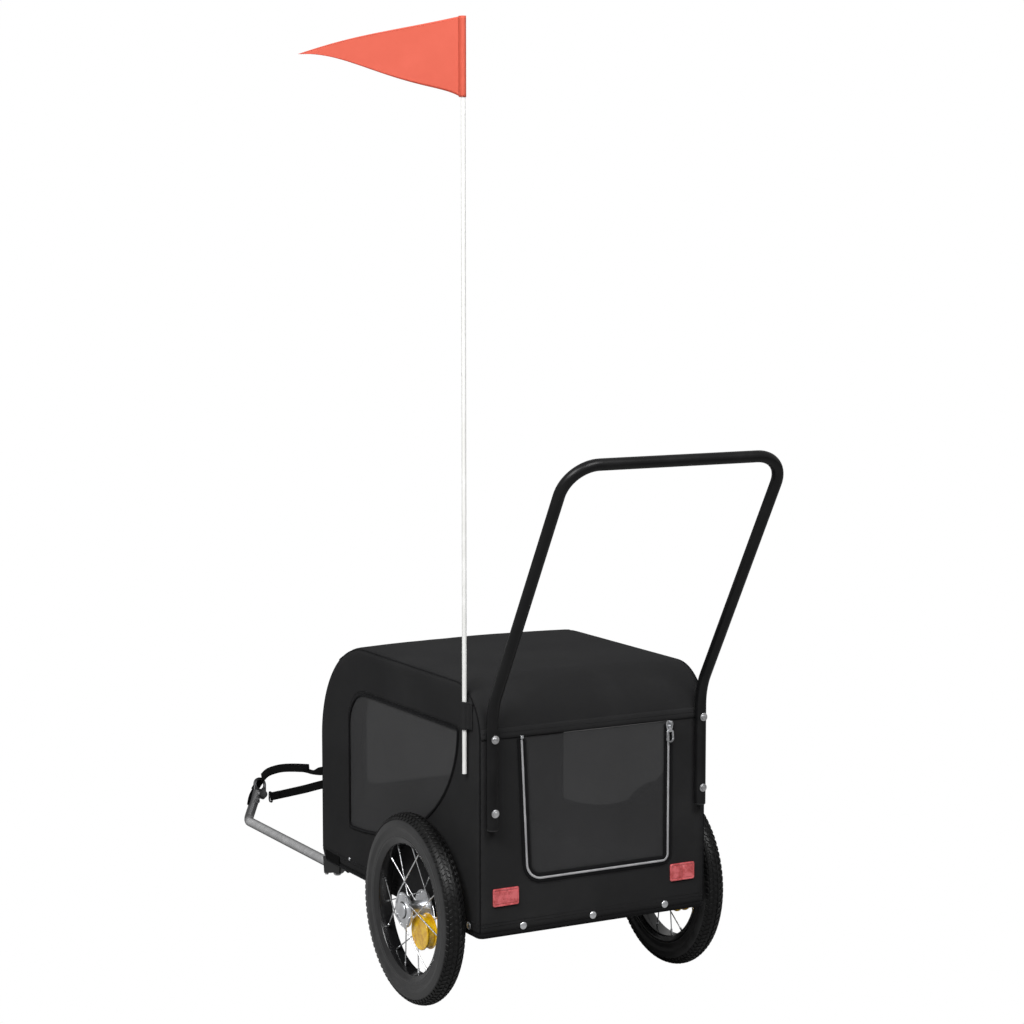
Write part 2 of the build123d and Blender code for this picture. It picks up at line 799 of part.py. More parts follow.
eye_plane = Plane(origin=hitch_point, x_dir=riser, z_dir=eye_normal)
with BuildPart() as hitch_eye:
    with BuildSketch(eye_plane):
        Circle(hitch_width / 2)
        with Locations((-hitch_tail / 2, 0)):
            Rectangle(hitch_tail, hitch_width)
        Circle(hitch_hole / 2, mode=Mode.SUBTRACT)
    extrude(amount=hitch_plate / 2, both=True)
    # the lower end straddles the tube that it is welded to
    with BuildSketch(Plane(origin=riser_end, z_dir=riser)):
        Circle(drawbar_tube / 2)
    extrude(amount=-hitch_tail, mode=Mode.SUBTRACT)
keep("hitch_eye", hitch_eye.part)

bracket_half = drawbar_tube / 2 + seat_gap + bracket_wall
with BuildPart() as drawbar_bracket:
    with BuildSketch(Plane.XZ.offset(-bracket_front)):
        with Locations((drawbar_side, bracket_top - bracket_depth / 2)):
            Rectangle(2 * bracket_half, bracket_depth)
        with Locations((drawbar_side, bracket_top - bracket_depth / 2 - bracket_wall)):
            Rectangle(2 * (bracket_half - bracket_wall), bracket_depth, mode=Mode.SUBTRACT)
    extrude(amount=bracket_front - bracket_rear)
    with BuildSketch(Plane.XY.offset(bracket_top - bracket_wall - cut_margin)):
        with Locations((drawbar_side, drawbar_bolt_place)):
            Circle(drawbar_bolt / 2 + drill_clearance)
        with Locations((drawbar_side, lock_pin_place)):
            Circle(lock_pin / 2 + drill_clearance)
    extrude(amount=bracket_wall + 2 * cut_margin, mode=Mode.SUBTRACT)
keep("drawbar_bracket", drawbar_bracket.part)

with BuildPart() as bracket_pins:
    # pivot bolt with its nut, and the lock pin in front of the cabin
    bolt_low = drawbar_height - drawbar_tube / 2 - pin_proud
    with BuildSketch(Plane.XY.offset(bolt_low)):
        with Locations((drawbar_side, drawbar_bolt_place)):
            Circle(drawbar_bolt / 2)
        with Locations((drawbar_side, lock_pin_place)):
            Circle(lock_pin / 2)
    extrude(amount=bracket_top - seat_gap - bolt_low)
    with BuildSketch(Plane.XY.offset(bolt_low)):
        with Locations((drawbar_side, drawbar_bolt_place)):
            RegularPolygon(drawbar_bolt_nut / 2, 6)
        with Locations((drawbar_side, lock_pin_place)):
            Circle(lock_pin_collar / 2)
    extrude(amount=-pin_end)
    with BuildSketch(Plane.XY.offset(bracket_top + seat_gap)):
        with Locations((drawbar_side, lock_pin_place)):
            Circle(lock_pin_grip / 2)
    extrude(amount=lock_pin_grip_height)
    with BuildSketch(Plane.XY.offset(bracket_top - pin_proud)):
        with Locations((drawbar_side, lock_pin_place)):
            Circle(lock_pin / 2)
    extrude(amount=pin_join)
keep("bracket_pins", bracket_pins.part)

# the hitch bolt goes through the riser below the eye plate
bolt_half = drawbar_tube / 2 + seat_gap
with BuildPart() as hitch_bolt:
    with BuildSketch(Plane(origin=bolt_centre - eye_normal * bolt_half, z_dir=eye_normal)):
        Circle(hitch_bolt_diameter / 2)
    extrude(amount=2 * bolt_half)
    for face in (-1, 1):
        at = bolt_centre + eye_normal * face * bolt_half
        with BuildSketch(Plane(origin=at, z_dir=eye_normal * face)):
            Circle(hitch_bolt_head / 2)
        extrude(amount=hitch_bolt_head_height)
keep("hitch_bolt", hitch_bolt.part)


strap_end = body_front - seat_gap
strap_root = body_front + strap_width


def webbing(side_place, points, end_rise):
    """A strap on edge: a band drawn from the side and given its thickness along X."""
    route = [(hitch_point.Y + back, hitch_point.Z + up) for back, up in points]
    route.append((strap_root, hitch_point.Z + end_rise))
    with BuildPart() as band:
        with BuildSketch(Plane.YZ.offset(side_place - strap_thickness / 2)):
            with BuildLine():
                FilletPolyline(*route, radius=strap_bend)
            trace(line_width=strap_width)
        extrude(amount=strap_thickness)
        # the sewn end lies flat against the cabin
        split(bisect_by=Plane.XZ.offset(-strap_end), keep=Keep.TOP)
    return band.part


tail_side = hitch_point.X - tail_inwards
keep("safety_strap", webbing(hitch_point.X, strap_points, strap_end_rise))
keep("strap_tail", webbing(tail_side, tail_points, tail_end_rise))

ring_height = strap_width + 2 * ring_wire
with BuildPart() as strap_ring:
    with BuildSketch(Plane.YZ.offset(tail_side - ring_wire / 2)):
        with Locations((hitch_point.Y + ring_point[0], hitch_point.Z + ring_point[1])):
            RectangleRounded(ring_length, ring_height, ring_corner)
            RectangleRounded(
                ring_length - 2 * ring_wire,
                ring_height - 2 * ring_wire,
                ring_corner - ring_wire,
                mode=Mode.SUBTRACT,
            )
    extrude(amount=ring_wire)
keep("strap_ring", strap_ring.part)

# ---- tail reflectors -------------------------------------------------------------------------------

for side_name, side in (("left", 1), ("right", -1)):
    with BuildPart() as tail_reflector:
        with BuildSketch(Plane.XZ.offset(-body_rear - seat_gap)):
            with Locations((side * tail_reflector_side, tail_reflector_centre)):
                RectangleRounded(tail_reflector_width, tail_reflector_height, 2)
        extrude(amount=-tail_reflector_thickness)
    keep(f"{side_name}_tail_reflector", tail_reflector.part)

# ---- parking: nose down on the wheels and the drawbar's elbow --------------------------------------


def nose_down_angle():
    """The tilt about the axle that brings the underside of the elbow down to the ground."""
    incoming = Vector(0, -1, 0)
    turn = incoming.get_angle(riser)
    inwards = (riser - incoming * riser.dot(incoming)).normalized()
    arc_start = elbow_point - incoming * (elbow_radius * sin(radians(turn / 2)) / cos(radians(turn / 2)))
    centre = arc_start + inwards * elbow_radius
    angle = 0.0
    for _ in range(40):
        sag = elbow_radius * hypot(inwards.Z * cos(angle), sin(angle)) + drawbar_tube / 2
        drop = wheel_radius - sag
        reach = hypot(centre.Y, centre.Z - wheel_radius)
        angle = asin(drop / reach) - atan2(wheel_radius - centre.Z, -centre.Y)
    return degrees(angle)


tilt = nose_down_angle()
axle_line = Axis((0, 0, wheel_radius), (1, 0, 0))
tilted = {name: piece.rotate(axle_line, tilt) for name, piece in pieces.items()}
boxes = [piece.bounding_box() for piece in tilted.values()]
low = Vector(*(min(getattr(box.min, letter) for box in boxes) for letter in "XYZ"))
high = Vector(*(max(getattr(box.max, letter) for box in boxes) for letter in "XYZ"))
shift = Vector(-(low.X + high.X) / 2, -(low.Y + high.Y) / 2, 0)

os.makedirs("parts", exist_ok=True)
for name, piece in tilted.items():
    placed = piece.moved(Location(shift))
    placed.label = name
    export_step(placed, f"parts/{name}.step")
print("nose down", round(tilt, 2), "degrees; ground at", round(low.Z, 2))
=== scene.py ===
import math

import bmesh
import bpy
import numpy as np
from mathutils import Matrix, Vector, noise
from mathutils.geometry import delaunay_2d_cdt


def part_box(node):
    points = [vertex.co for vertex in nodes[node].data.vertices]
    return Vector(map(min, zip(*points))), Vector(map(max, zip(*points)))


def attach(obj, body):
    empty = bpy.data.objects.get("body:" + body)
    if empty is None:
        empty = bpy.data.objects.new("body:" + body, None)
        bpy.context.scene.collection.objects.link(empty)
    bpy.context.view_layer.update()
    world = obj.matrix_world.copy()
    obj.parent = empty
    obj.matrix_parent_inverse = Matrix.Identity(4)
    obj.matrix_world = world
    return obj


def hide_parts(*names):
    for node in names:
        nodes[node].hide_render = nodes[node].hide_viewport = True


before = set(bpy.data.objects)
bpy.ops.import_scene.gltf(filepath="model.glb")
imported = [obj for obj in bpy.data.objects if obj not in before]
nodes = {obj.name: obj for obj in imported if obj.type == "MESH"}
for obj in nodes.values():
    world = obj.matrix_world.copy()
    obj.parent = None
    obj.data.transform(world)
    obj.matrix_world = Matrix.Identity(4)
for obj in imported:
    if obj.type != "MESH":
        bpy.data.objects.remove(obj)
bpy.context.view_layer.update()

# ==== How it stands =========================================================================
# Every piece is drawn level, as the trailer is towed, in millimetres: X across from the midline,
# Y back from the axle, Z up from the road.  LEVEL then sets it down as it parks, nose on the
# ground, turned about its axle by as much as the flag pole leans.

MM = 0.001
pole_points = np.array([vertex.co for vertex in nodes["flag_pole"].data.vertices])
pole_line = np.linalg.svd(pole_points - pole_points.mean(axis=0))[2][0]
nose_down = math.atan2(-pole_line[1] * np.sign(pole_line[2]), abs(pole_line[2]))
left_tyre_box = [Vector(corner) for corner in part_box("left_tyre")]
right_tyre_box = [Vector(corner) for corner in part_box("right_tyre")]
axle_middle = (left_tyre_box[1] + right_tyre_box[0]) / 2
axle_middle.y = (left_tyre_box[0].y + left_tyre_box[1].y) / 2
axle_middle.z = (left_tyre_box[0].z + left_tyre_box[1].z) / 2
wheel_radius = (left_tyre_box[1].z - left_tyre_box[0].z) / 2 / MM
LEVEL = (
    Matrix.Translation(axle_middle)
    @ Matrix.Rotation(nose_down, 4, "X")
    @ Matrix.Translation((0, 0, -wheel_radius * MM))
)


def level_point(x, y, z):
    """A place given on the level drawing, in metres on the parked trailer."""
    return LEVEL @ (Vector((x, y, z)) * MM)


# ==== Camera, floor and light ===============================================================
# A long lens behind the left rear corner, a little above the handle.  The floor and the
# backdrop are plain white, with one soft window of light high on the left and one high behind.

LENS = 89.39
CAMERA_PLACE = (1996.3, 3508.5, 1226.3)
CAMERA_TURN, CAMERA_TILT = math.radians(151.1), math.radians(83.55)
WHITE = (1, 1, 1, 1)
FLOOR_HALF = 30
FLOOR_TONE = (0.4, 0.4, 0.4, 1)
ROOM_LIGHT, ROOM_SHINE = 0.11, 0.42

camera_data = bpy.data.cameras.new("camera")
camera_data.lens = LENS
camera_data.sensor_width = 36
camera_data.clip_end = 100
camera = bpy.data.objects.new("camera", camera_data)
bpy.context.scene.collection.objects.link(camera)
camera.matrix_world = (
    LEVEL
    @ Matrix.Translation(Vector(CAMERA_PLACE) * MM)
    @ Matrix.Rotation(CAMERA_TURN, 4, "Z")
    @ Matrix.Rotation(CAMERA_TILT, 4, "X")
)
bpy.context.scene.camera = camera
bpy.context.scene.view_settings.view_transform = "Standard"


def new_material(name):
    """An empty node material and its tree."""
    material = bpy.data.materials.new(name)
    material.use_nodes = True
    material.node_tree.nodes.clear()
    return material, material.node_tree


def add_node(tree, kind, inputs=None, **properties):
    """One shader node; each of its inputs takes a value, or another node's output to be joined to."""
    node = tree.nodes.new("ShaderNode" + kind)
    for key, value in properties.items():
        setattr(node, key, value)
    for key, value in (inputs or {}).items():
        if isinstance(value, bpy.types.NodeSocket):
            tree.links.new(value, node.inputs[key])
        else:
            node.inputs[key].default_value = value
    return node


def mixed_shader(tree, factor, first, second):
    """One shader or another, by a mask."""
    return add_node(tree, "MixShader", {0: factor, 1: first.outputs[0], 2: second.outputs[0]})


def white_to_camera(tree, surface, light):
    """Pure white where the camera looks straight at it, the given surface for every other ray."""
    white = add_node(tree, light, {"Color": WHITE, "Strength": 1.0})
    return mixed_shader(tree, add_node(tree, "LightPath").outputs["Is Camera Ray"], surface, white).outputs[0]


# the room is dim on matt things and brighter where glossy ones mirror it
world = bpy.data.worlds.new("studio")
bpy.context.scene.world = world
world.use_nodes = True
tree = world.node_tree
tree.nodes.clear()
room_light = add_node(tree, "Background", {"Color": WHITE, "Strength": ROOM_LIGHT})
room_shine = add_node(tree, "Background", {"Color": WHITE, "Strength": ROOM_SHINE})
room = mixed_shader(tree, add_node(tree, "LightPath").outputs["Is Glossy Ray"], room_light, room_shine)
add_node(tree, "OutputWorld", {"Surface": white_to_camera(tree, room, "Background")})

floor_mesh = bpy.data.meshes.new("floor")
floor_corners = [(x * FLOOR_HALF, y * FLOOR_HALF, 0) for x, y in ((-1, -1), (1, -1), (1, 1), (-1, 1))]
floor_mesh.from_pydata(floor_corners, [], [(0, 1, 2, 3)])
floor = bpy.data.objects.new("floor", floor_mesh)
bpy.context.scene.collection.objects.link(floor)
floor_material, tree = new_material("floor_white")
floor_paint = add_node(tree, "BsdfDiffuse", {"Color": FLOOR_TONE})
add_node(tree, "OutputMaterial", {"Surface": white_to_camera(tree, floor_paint, "Emission")})
floor_mesh.materials.append(floor_material)


def soft_window(name, place, aim, size, power):
    """A rectangular softbox at a place on the level drawing, turned towards its aim."""
    data = bpy.data.lights.new(name, "AREA")
    data.shape = "RECTANGLE"
    data.size, data.size_y = size
    data.energy = power
    lamp = bpy.data.objects.new(name, data)
    bpy.context.scene.collection.objects.link(lamp)
    start = level_point(*place)
    lamp.location = start
    lamp.rotation_euler = (level_point(*aim) - start).to_track_quat("-Z", "Y").to_euler()


soft_window("key_window", place=(2600, 1500, 3000), aim=(0, -100, 350), size=(2.2, 1.6), power=142)
soft_window("rear_window", place=(-200, 2700, 3400), aim=(0, 0, 350), size=(1.8, 1.6), power=104)


# ==== Cabin cloth ===========================================================================
# The cabin is one black oxford-cloth wrap that runs up the rear, over the roof and down the front,
# with a cut-out for each door, and a side wall sewn to it on either side with a round, soft edge.
# It is stretched over two hoops, so it hardly creases; it only swells a little between them.

FRONT_RADIUS = 175
REAR_RADIUS = 82
HEM_RADIUS = 12
FRONT_HEM_RADIUS = 22
EDGE_RADIUS = 10
HEM_TURN = 20
CLOTH = 1.2
SEAM_ANGLE = math.radians(45)
CLOTH_GRID = 8.0
ROOF_SWELL = 3.0
WALL_SWELL = 0.6
PUCKERS_END = 210


def level_points(*names):
    """The corners of CAD nodes' meshes on the level drawing, in millimetres."""
    back = LEVEL.inverted()
    return np.array([back @ vertex.co for name in names for vertex in nodes[name].data.vertices]) / MM


def level_box(*names):
    """Lowest and highest corners of CAD nodes on the level drawing."""
    points = level_points(*names)
    return Vector(points.min(axis=0)), Vector(points.max(axis=0))


def rounded_path(corners, closed=False, turn_step=4.0):
    """Points along straight runs whose corners, given as (a, b, radius), are rounded."""
    count = len(corners)
    path = []
    for index, (a, b, radius) in enumerate(corners):
        here = np.array([a, b], float)
        if not closed and index in (0, count - 1):
            path.append(here)
            continue
        before = np.array(corners[index - 1][:2], float)
        after = np.array(corners[(index + 1) % count][:2], float)
        way_in = (here - before) / np.linalg.norm(here - before)
        way_out = (after - here) / np.linalg.norm(after - here)
        turn = math.acos(max(-1.0, min(1.0, float(way_in @ way_out))))
        if radius <= 0 or turn < 1e-4:
            path.append(here)
            continue
        setback = radius * math.tan(turn / 2)
        hand = math.copysign(1.0, way_in[0] * way_out[1] - way_in[1] * way_out[0])
        centre = here - way_in * setback + hand * radius * np.array([-way_in[1], way_in[0]])
        spoke = here - way_in * setback - centre
        steps = max(2, int(math.degrees(turn) / turn_step))
        for step in range(steps + 1):
            angle = hand * turn * step / steps
            c, s = math.cos(angle), math.sin(angle)
            path.append(centre + np.array([c * spoke[0] - s * spoke[1], s * spoke[0] + c * spoke[1]]))
    return np.array(path)


def run_along(path):
    """How far along a path each of its points lies."""
    return np.concatenate([[0], np.cumsum(np.linalg.norm(np.diff(path, axis=0), axis=1))])


def evenly(path, spacing, closed=False):
    """The same path with points at an even spacing."""
    points = np.vstack([path, path[:1]]) if closed else np.asarray(path)
    along = run_along(points)
    count = max(2, int(round(along[-1] / spacing)))
    marks = np.linspace(0, along[-1], count + 1)
    if closed:
        marks = marks[:-1]
    return np.stack([np.interp(marks, along, points[:, k]) for k in range(points.shape[1])], axis=1)


def inside(points, loop):
    """Which points lie inside a closed loop."""
    a, b = loop, np.roll(loop, -1, axis=0)
    x, y = points[:, 0][:, None], points[:, 1][:, None]
    spans = (a[:, 1] > y) != (b[:, 1] > y)
    with np.errstate(divide="ignore", invalid="ignore"):
        cross = a[:, 0] + (y - a[:, 1]) * (b[:, 0] - a[:, 0]) / (b[:, 1] - a[:, 1])
    return (np.sum(spans & (x < cross), axis=1) % 2) == 1


def cut_area(outline, holes=()):
    """The area of a flat pattern piece less its holes, in square metres."""
    def enclosed(loop):
        x, y = np.asarray(loop).T
        return abs(x @ np.roll(y, -1) - y @ np.roll(x, -1)) / 2

    return (enclosed(outline) - sum(enclosed(hole) for hole in holes)) * MM * MM


def cut_cloth(outline, holes, grid):
    """A flat pattern piece: its points and triangles, with an even net between its edges."""
    loops = [outline] + list(holes)
    low, high = outline.min(axis=0), outline.max(axis=0)
    width, length = high - low
    columns, rows = max(2, int(width / grid)), max(2, int(length / grid))
    net = np.array(
        [
            (low[0] + (i + (0.5 if j % 2 else 0)) * width / columns, low[1] + j * length / rows)
            for j in range(1, rows)
            for i in range(1, columns)
        ]
    )
    keep = inside(net, outline)
    for hole in holes:
        keep &= ~inside(net, hole)
    edge_points = np.vstack(loops)
    for start in range(0, len(net), 500):
        part = net[start : start + 500]
        apart = np.min(np.linalg.norm(part[:, None] - edge_points[None], axis=2), axis=1)
        keep[start : start + 500] &= apart > grid * 0.45
    points = [Vector(p) for p in np.vstack([edge_points, net[keep]])]
    edges, first = [], 0
    for loop in loops:
        edges += [(first + i, first + (i + 1) % len(loop)) for i in range(len(loop))]
        first += len(loop)
    made, _, faces, *_ = delaunay_2d_cdt(points, edges, [], 0, 1e-4)
    made = np.array([tuple(p) for p in made])
    middles = np.array([made[list(face)].mean(axis=0) for face in faces])
    wanted = inside(middles, outline)
    for hole in holes:
        wanted &= ~inside(middles, hole)
    return made, [face for face, good in zip(faces, wanted) if good]


def laid_on_faces(mesh):
    """Flat weave directions for a sewn strip: each face takes the two axes it lies along."""
    count = len(mesh.loops)
    places = np.empty(len(mesh.vertices) * 3)
    mesh.vertices.foreach_get("co", places)
    corners = np.empty(count, dtype=np.int32)
    mesh.loops.foreach_get("vertex_index", corners)
    normals = np.empty(len(mesh.polygons) * 3)
    mesh.polygons.foreach_get("normal", normals)
    totals = np.empty(len(mesh.polygons), dtype=np.int32)
    mesh.polygons.foreach_get("loop_total", totals)
    axis = np.repeat(np.argmax(np.abs(normals.reshape(-1, 3)), axis=1), totals)
    places = places.reshape(-1, 3)[corners]
    rows = np.arange(count)
    flat = np.stack([places[rows, (axis + 1) % 3], places[rows, (axis + 2) % 3]], axis=1)
    mesh.uv_layers.new(name="cloth").data.foreach_set("uv", flat.ravel())


def piece(name, points, faces, material, body, uv=None, smooth=True):
    """A mesh piece drawn level, in millimetres, that rides on one body."""
    mesh = bpy.data.meshes.new(name)
    corners = [tuple(np.asarray(point, float) * MM) for point in points]
    mesh.from_pydata(corners, [], [tuple(int(i) for i in face) for face in faces])
    if uv is not None:
        layer = mesh.uv_layers.new(name="cloth")
        for loop in mesh.loops:
            layer.data[loop.index].uv = tuple(np.asarray(uv[loop.vertex_index], float) * MM)
    mesh.validate()
    if uv is None:
        laid_on_faces(mesh)
    mesh.transform(LEVEL)
    obj = bpy.data.objects.new(name, mesh)
    bpy.context.scene.collection.objects.link(obj)
    mesh.materials.append(material)
    if smooth:
        for polygon in mesh.polygons:
            polygon.use_smooth = True
    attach(obj, body)
    return obj


def bake_modifiers(obj):
    """Apply what the modifiers do to the mesh itself."""
    graph = bpy.context.evaluated_depsgraph_get()
    made = bpy.data.meshes.new_from_object(obj.evaluated_get(graph))
    obj.modifiers.clear()
    obj.data = made


def thicken(obj, thickness, offset=-1.0):
    """Give a cloth sheet its thickness, from its outer face inwards."""
    bm = bmesh.new()
    bm.from_mesh(obj.data)
    bmesh.ops.remove_doubles(bm, verts=bm.verts, dist=0.00002)
    bmesh.ops.recalc_face_normals(bm, faces=bm.faces)
    bm.to_mesh(obj.data)
    bm.free()
    solid = obj.modifiers.new("thickness", "SOLIDIFY")
    solid.thickness = thickness * MM
    solid.offset = offset
    bake_modifiers(obj)


def maths(tree, operation, *values):
    """The output of a Math node on numbers or other outputs."""
    return add_node(tree, "Math", dict(enumerate(values)), operation=operation).outputs[0]


def ridges(tree, along, turns):
    """Round ridges side by side: the size of a sine wave."""
    return maths(tree, "ABSOLUTE", maths(tree, "SINE", maths(tree, "MULTIPLY", along, turns)))


def smooth_mask(tree, value, start, end):
    """0 before the start and 1 past the end, with a smooth step between."""
    limits = {"Value": value, "From Min": start, "From Max": end}
    return add_node(tree, "MapRange", limits, interpolation_type="SMOOTHSTEP").outputs["Result"]


def effect_group(name, takes, gives):
    """An empty node group: its tree, the values it takes besides a place, and those it gives."""
    tree = bpy.data.node_groups.new(name, "ShaderNodeTree")
    tree.interface.new_socket(name="Place", in_out="INPUT", socket_type="NodeSocketVector")
    for key, value in takes.items():
        socket = tree.interface.new_socket(name=key, in_out="INPUT", socket_type="NodeSocketFloat")
        socket.default_value = value
    for key in gives:
        tree.interface.new_socket(name=key, in_out="OUTPUT", socket_type="NodeSocketFloat")
    return tree, tree.nodes.new("NodeGroupInput").outputs, tree.nodes.new("NodeGroupOutput").inputs


def weave_group():
    """Plain weave: threads go over and under each other in turn; also how one thread differs from the next."""
    tree, taken, given = effect_group("plain_weave", {"Threads per metre": 1600}, ("Height", "Thread tone"))
    per_thread = {0: taken["Place"], "Scale": taken["Threads per metre"]}
    scaled = add_node(tree, "VectorMath", per_thread, operation="SCALE").outputs[0]
    threads = add_node(tree, "SeparateXYZ", {0: scaled}).outputs
    over = add_node(tree, "TexChecker", {"Vector": scaled, "Scale": 1.0}).outputs["Fac"]
    crossing = {0: over, 2: ridges(tree, threads["X"], math.pi), 3: ridges(tree, threads["Y"], math.pi)}
    height = add_node(tree, "Mix", crossing, data_type="FLOAT")
    tone = add_node(tree, "TexNoise", {"Vector": scaled, "Scale": 0.35, "Detail": 2})
    tree.links.new(height.outputs[0], given["Height"])
    tree.links.new(tone.outputs["Fac"], given["Thread tone"])
    return tree


def soft_noise_group():
    """Slow and fine unevenness, for dust, handling marks and cloth that is not quite one tone."""
    takes = {"Marks per metre": 12, "From": 0.4, "To": 0.7}
    tree, taken, given = effect_group("unevenness", takes, ("Slow", "Fine"))
    place, often = taken["Place"], taken["Marks per metre"]
    slow = add_node(tree, "TexNoise", {"Vector": place, "Scale": often, "Detail": 4, "Roughness": 0.6})
    finer = maths(tree, "MULTIPLY", often, 22.0)
    fine = add_node(tree, "TexNoise", {"Vector": place, "Scale": finer, "Detail": 3})
    tree.links.new(smooth_mask(tree, slow.outputs["Fac"], taken["From"], taken["To"]), given["Slow"])
    tree.links.new(fine.outputs["Fac"], given["Fine"])
    return tree


plain_weave = weave_group()
unevenness = soft_noise_group()


def effect(tree, group, place, **values):
    """The outputs of a shared effect in a material; underscores in a name stand for spaces."""
    inputs = {key.replace("_", " "): value for key, value in values.items()}
    return add_node(tree, "Group", {"Place": place, **inputs}, node_tree=group).outputs


def uneven_material(name, per_metre, low, high):
    """A new material with unevenness: the material, its tree, its coordinates and its marks."""
    material, tree = new_material(name)
    place = add_node(tree, "TexCoord").outputs
    marks = effect(tree, unevenness, place["Object"], Marks_per_metre=per_metre, From=low, To=high)
    return material, tree, place, marks


def mixed_colour(tree, factor, dark, light):
    """Between two colours, or two outputs that carry colour, by a mask."""
    inputs = {"Factor": factor}
    for key, colour in (("A", dark), ("B", light)):
        inputs[key] = colour if isinstance(colour, bpy.types.NodeSocket) else (*colour, 1)
    return add_node(tree, "Mix", inputs, data_type="RGBA").outputs["Result"]


def mixed_value(tree, factor, low, high):
    """Between two numbers, by a mask."""
    return add_node(tree, "MapRange", {"Value": factor, "To Min": low, "To Max": high}).outputs["Result"]


def bumped(tree, height, distance, strength):
    """A normal from a height in metres."""
    bump = add_node(tree, "Bump", {"Height": height, "Distance": distance, "Strength": strength})
    return bump.outputs["Normal"]


def finish_material(tree, **inputs):
    """The surface, from what its shader's inputs take; underscores in a name stand for spaces."""
    shader = add_node(tree, "BsdfPrincipled", {key.replace("_", " "): value for key, value in inputs.items()})
    add_node(tree, "OutputMaterial", {"Surface": shader.outputs[0]})


def cloth_material(name, dark, light, threads=1500, sheen=0.35, roughness=0.85):
    """Woven polyester: a matt weave whose threads differ a little, with a faint bloom along its edges."""
    material, tree, place, marks = uneven_material(name, 7.0, 0.35, 0.75)
    weave = effect(tree, plain_weave, place["UV"], Threads_per_metre=threads)
    tone = maths(tree, "MULTIPLY_ADD", marks["Slow"], 0.55, maths(tree, "MULTIPLY", weave["Thread tone"], 0.45))
    finish_material(
        tree,
        Base_Color=mixed_colour(tree, tone, dark, light),
        Roughness=mixed_value(tree, marks["Slow"], roughness - 0.05, roughness + 0.05),
        Normal=bumped(tree, weave["Height"], 0.00012, 0.6),
        Specular_IOR_Level=0.05,
        Sheen_Weight=sheen,
        Sheen_Roughness=0.45,
        Sheen_Tint=(0.75, 0.76, 0.8, 1),
    )
    return material


black_cloth = cloth_material("black_oxford_cloth", (0.015, 0.015, 0.0155), (0.026, 0.026, 0.0265), sheen=0.015)

cabin_low, cabin_high = level_box(
    "left_side_panel", "right_side_panel", "roof_panel", "rear_panel", "front_panel"
)
half_body = cabin_high.x
flat_half = half_body - EDGE_RADIUS
front, rear, bottom, top = cabin_low.y, cabin_high.y, cabin_low.z, cabin_high.z
bottom_middle = (front + rear) / 2
cabin_profile = rounded_path(
    [
        (bottom_middle, bottom, 0),
        (rear, bottom, HEM_RADIUS),
        (rear, top, REAR_RADIUS),
        (front, top, FRONT_RADIUS),
        (front, bottom, FRONT_HEM_RADIUS),
        (bottom_middle, bottom, 0),
    ],
    turn_step=2.0,
)
profile_along = run_along(cabin_profile)
profile_length = profile_along[-1]


def on_profile(along):
    """Point and outward direction of the cabin's side outline at a length along it."""
    def place(length):
        return (np.interp(length, profile_along, cabin_profile[:, k]) for k in range(2))

    y, z = place(along)
    y_ahead, z_ahead = place(np.clip(along + 0.5, 0, profile_length))
    y_back, z_back = place(np.clip(along - 0.5, 0, profile_length))
    dy, dz = y_ahead - y_back, z_ahead - z_back
    run = np.hypot(dy, dz)
    return np.stack([y, z], axis=-1), np.stack([dz / run, -dy / run], axis=-1)


def along_at(height, at_rear):
    """How far along the outline the rear or the front wall reaches a height."""
    off_roof = cabin_profile[:, 1] < top - 1
    middle = profile_along[np.argmin(np.abs(cabin_profile[:, 0] - bottom_middle) + off_roof * 1e6)]
    inside_half = profile_along <= middle if at_rear else profile_along >= middle
    heights, lengths = cabin_profile[inside_half, 1], profile_along[inside_half]
    order = np.argsort(heights)
    return float(np.interp(height, heights[order], lengths[order]))


def relief(point, slow=0.9, fine=0.25):
    """How far the cloth stands in or out at a point: slow waves and small puckers."""
    p = Vector(point)
    return slow * noise.noise(p * 0.011) + fine * noise.noise(p * 0.05 + Vector((9, 4, 2)))


def wrap_point(u, along, lift=0.0):
    """A place on the cabin wrap: u across from the midline, along its outline, lift outwards."""
    (y, z), (ny, nz) = (np.asarray(v) for v in on_profile(np.asarray(along, float)))
    over = abs(u) - flat_half
    if over <= 0:
        x, sink, lean = u, 0.0, 0.0
    else:
        turn = over / EDGE_RADIUS
        x = math.copysign(flat_half + EDGE_RADIUS * math.sin(turn), u)
        sink = EDGE_RADIUS * (1 - math.cos(turn))
        lean = turn
    out = lift * math.cos(lean) - sink
    side = lift * math.sin(lean) * math.copysign(1.0, u) if over > 0 else 0.0
    return Vector((x + side, y + ny * out, z + nz * out))


def wrap_swell(u, along):
    """The cloth swells between the hoops, most on the roof and hardly at all on its seams."""
    _, (_, nz) = on_profile(np.asarray(along, float))
    across = max(0.0, 1 - (abs(u) / (flat_half + 7)) ** 2)
    return across * (ROOF_SWELL * max(0.0, float(nz)) + WALL_SWELL)


rear_door_low, rear_door_high = level_box("rear_door")
front_door_low, front_door_high = level_box("front_door")
DOOR_GAP = 0.8
ZIP_LEAN = 11

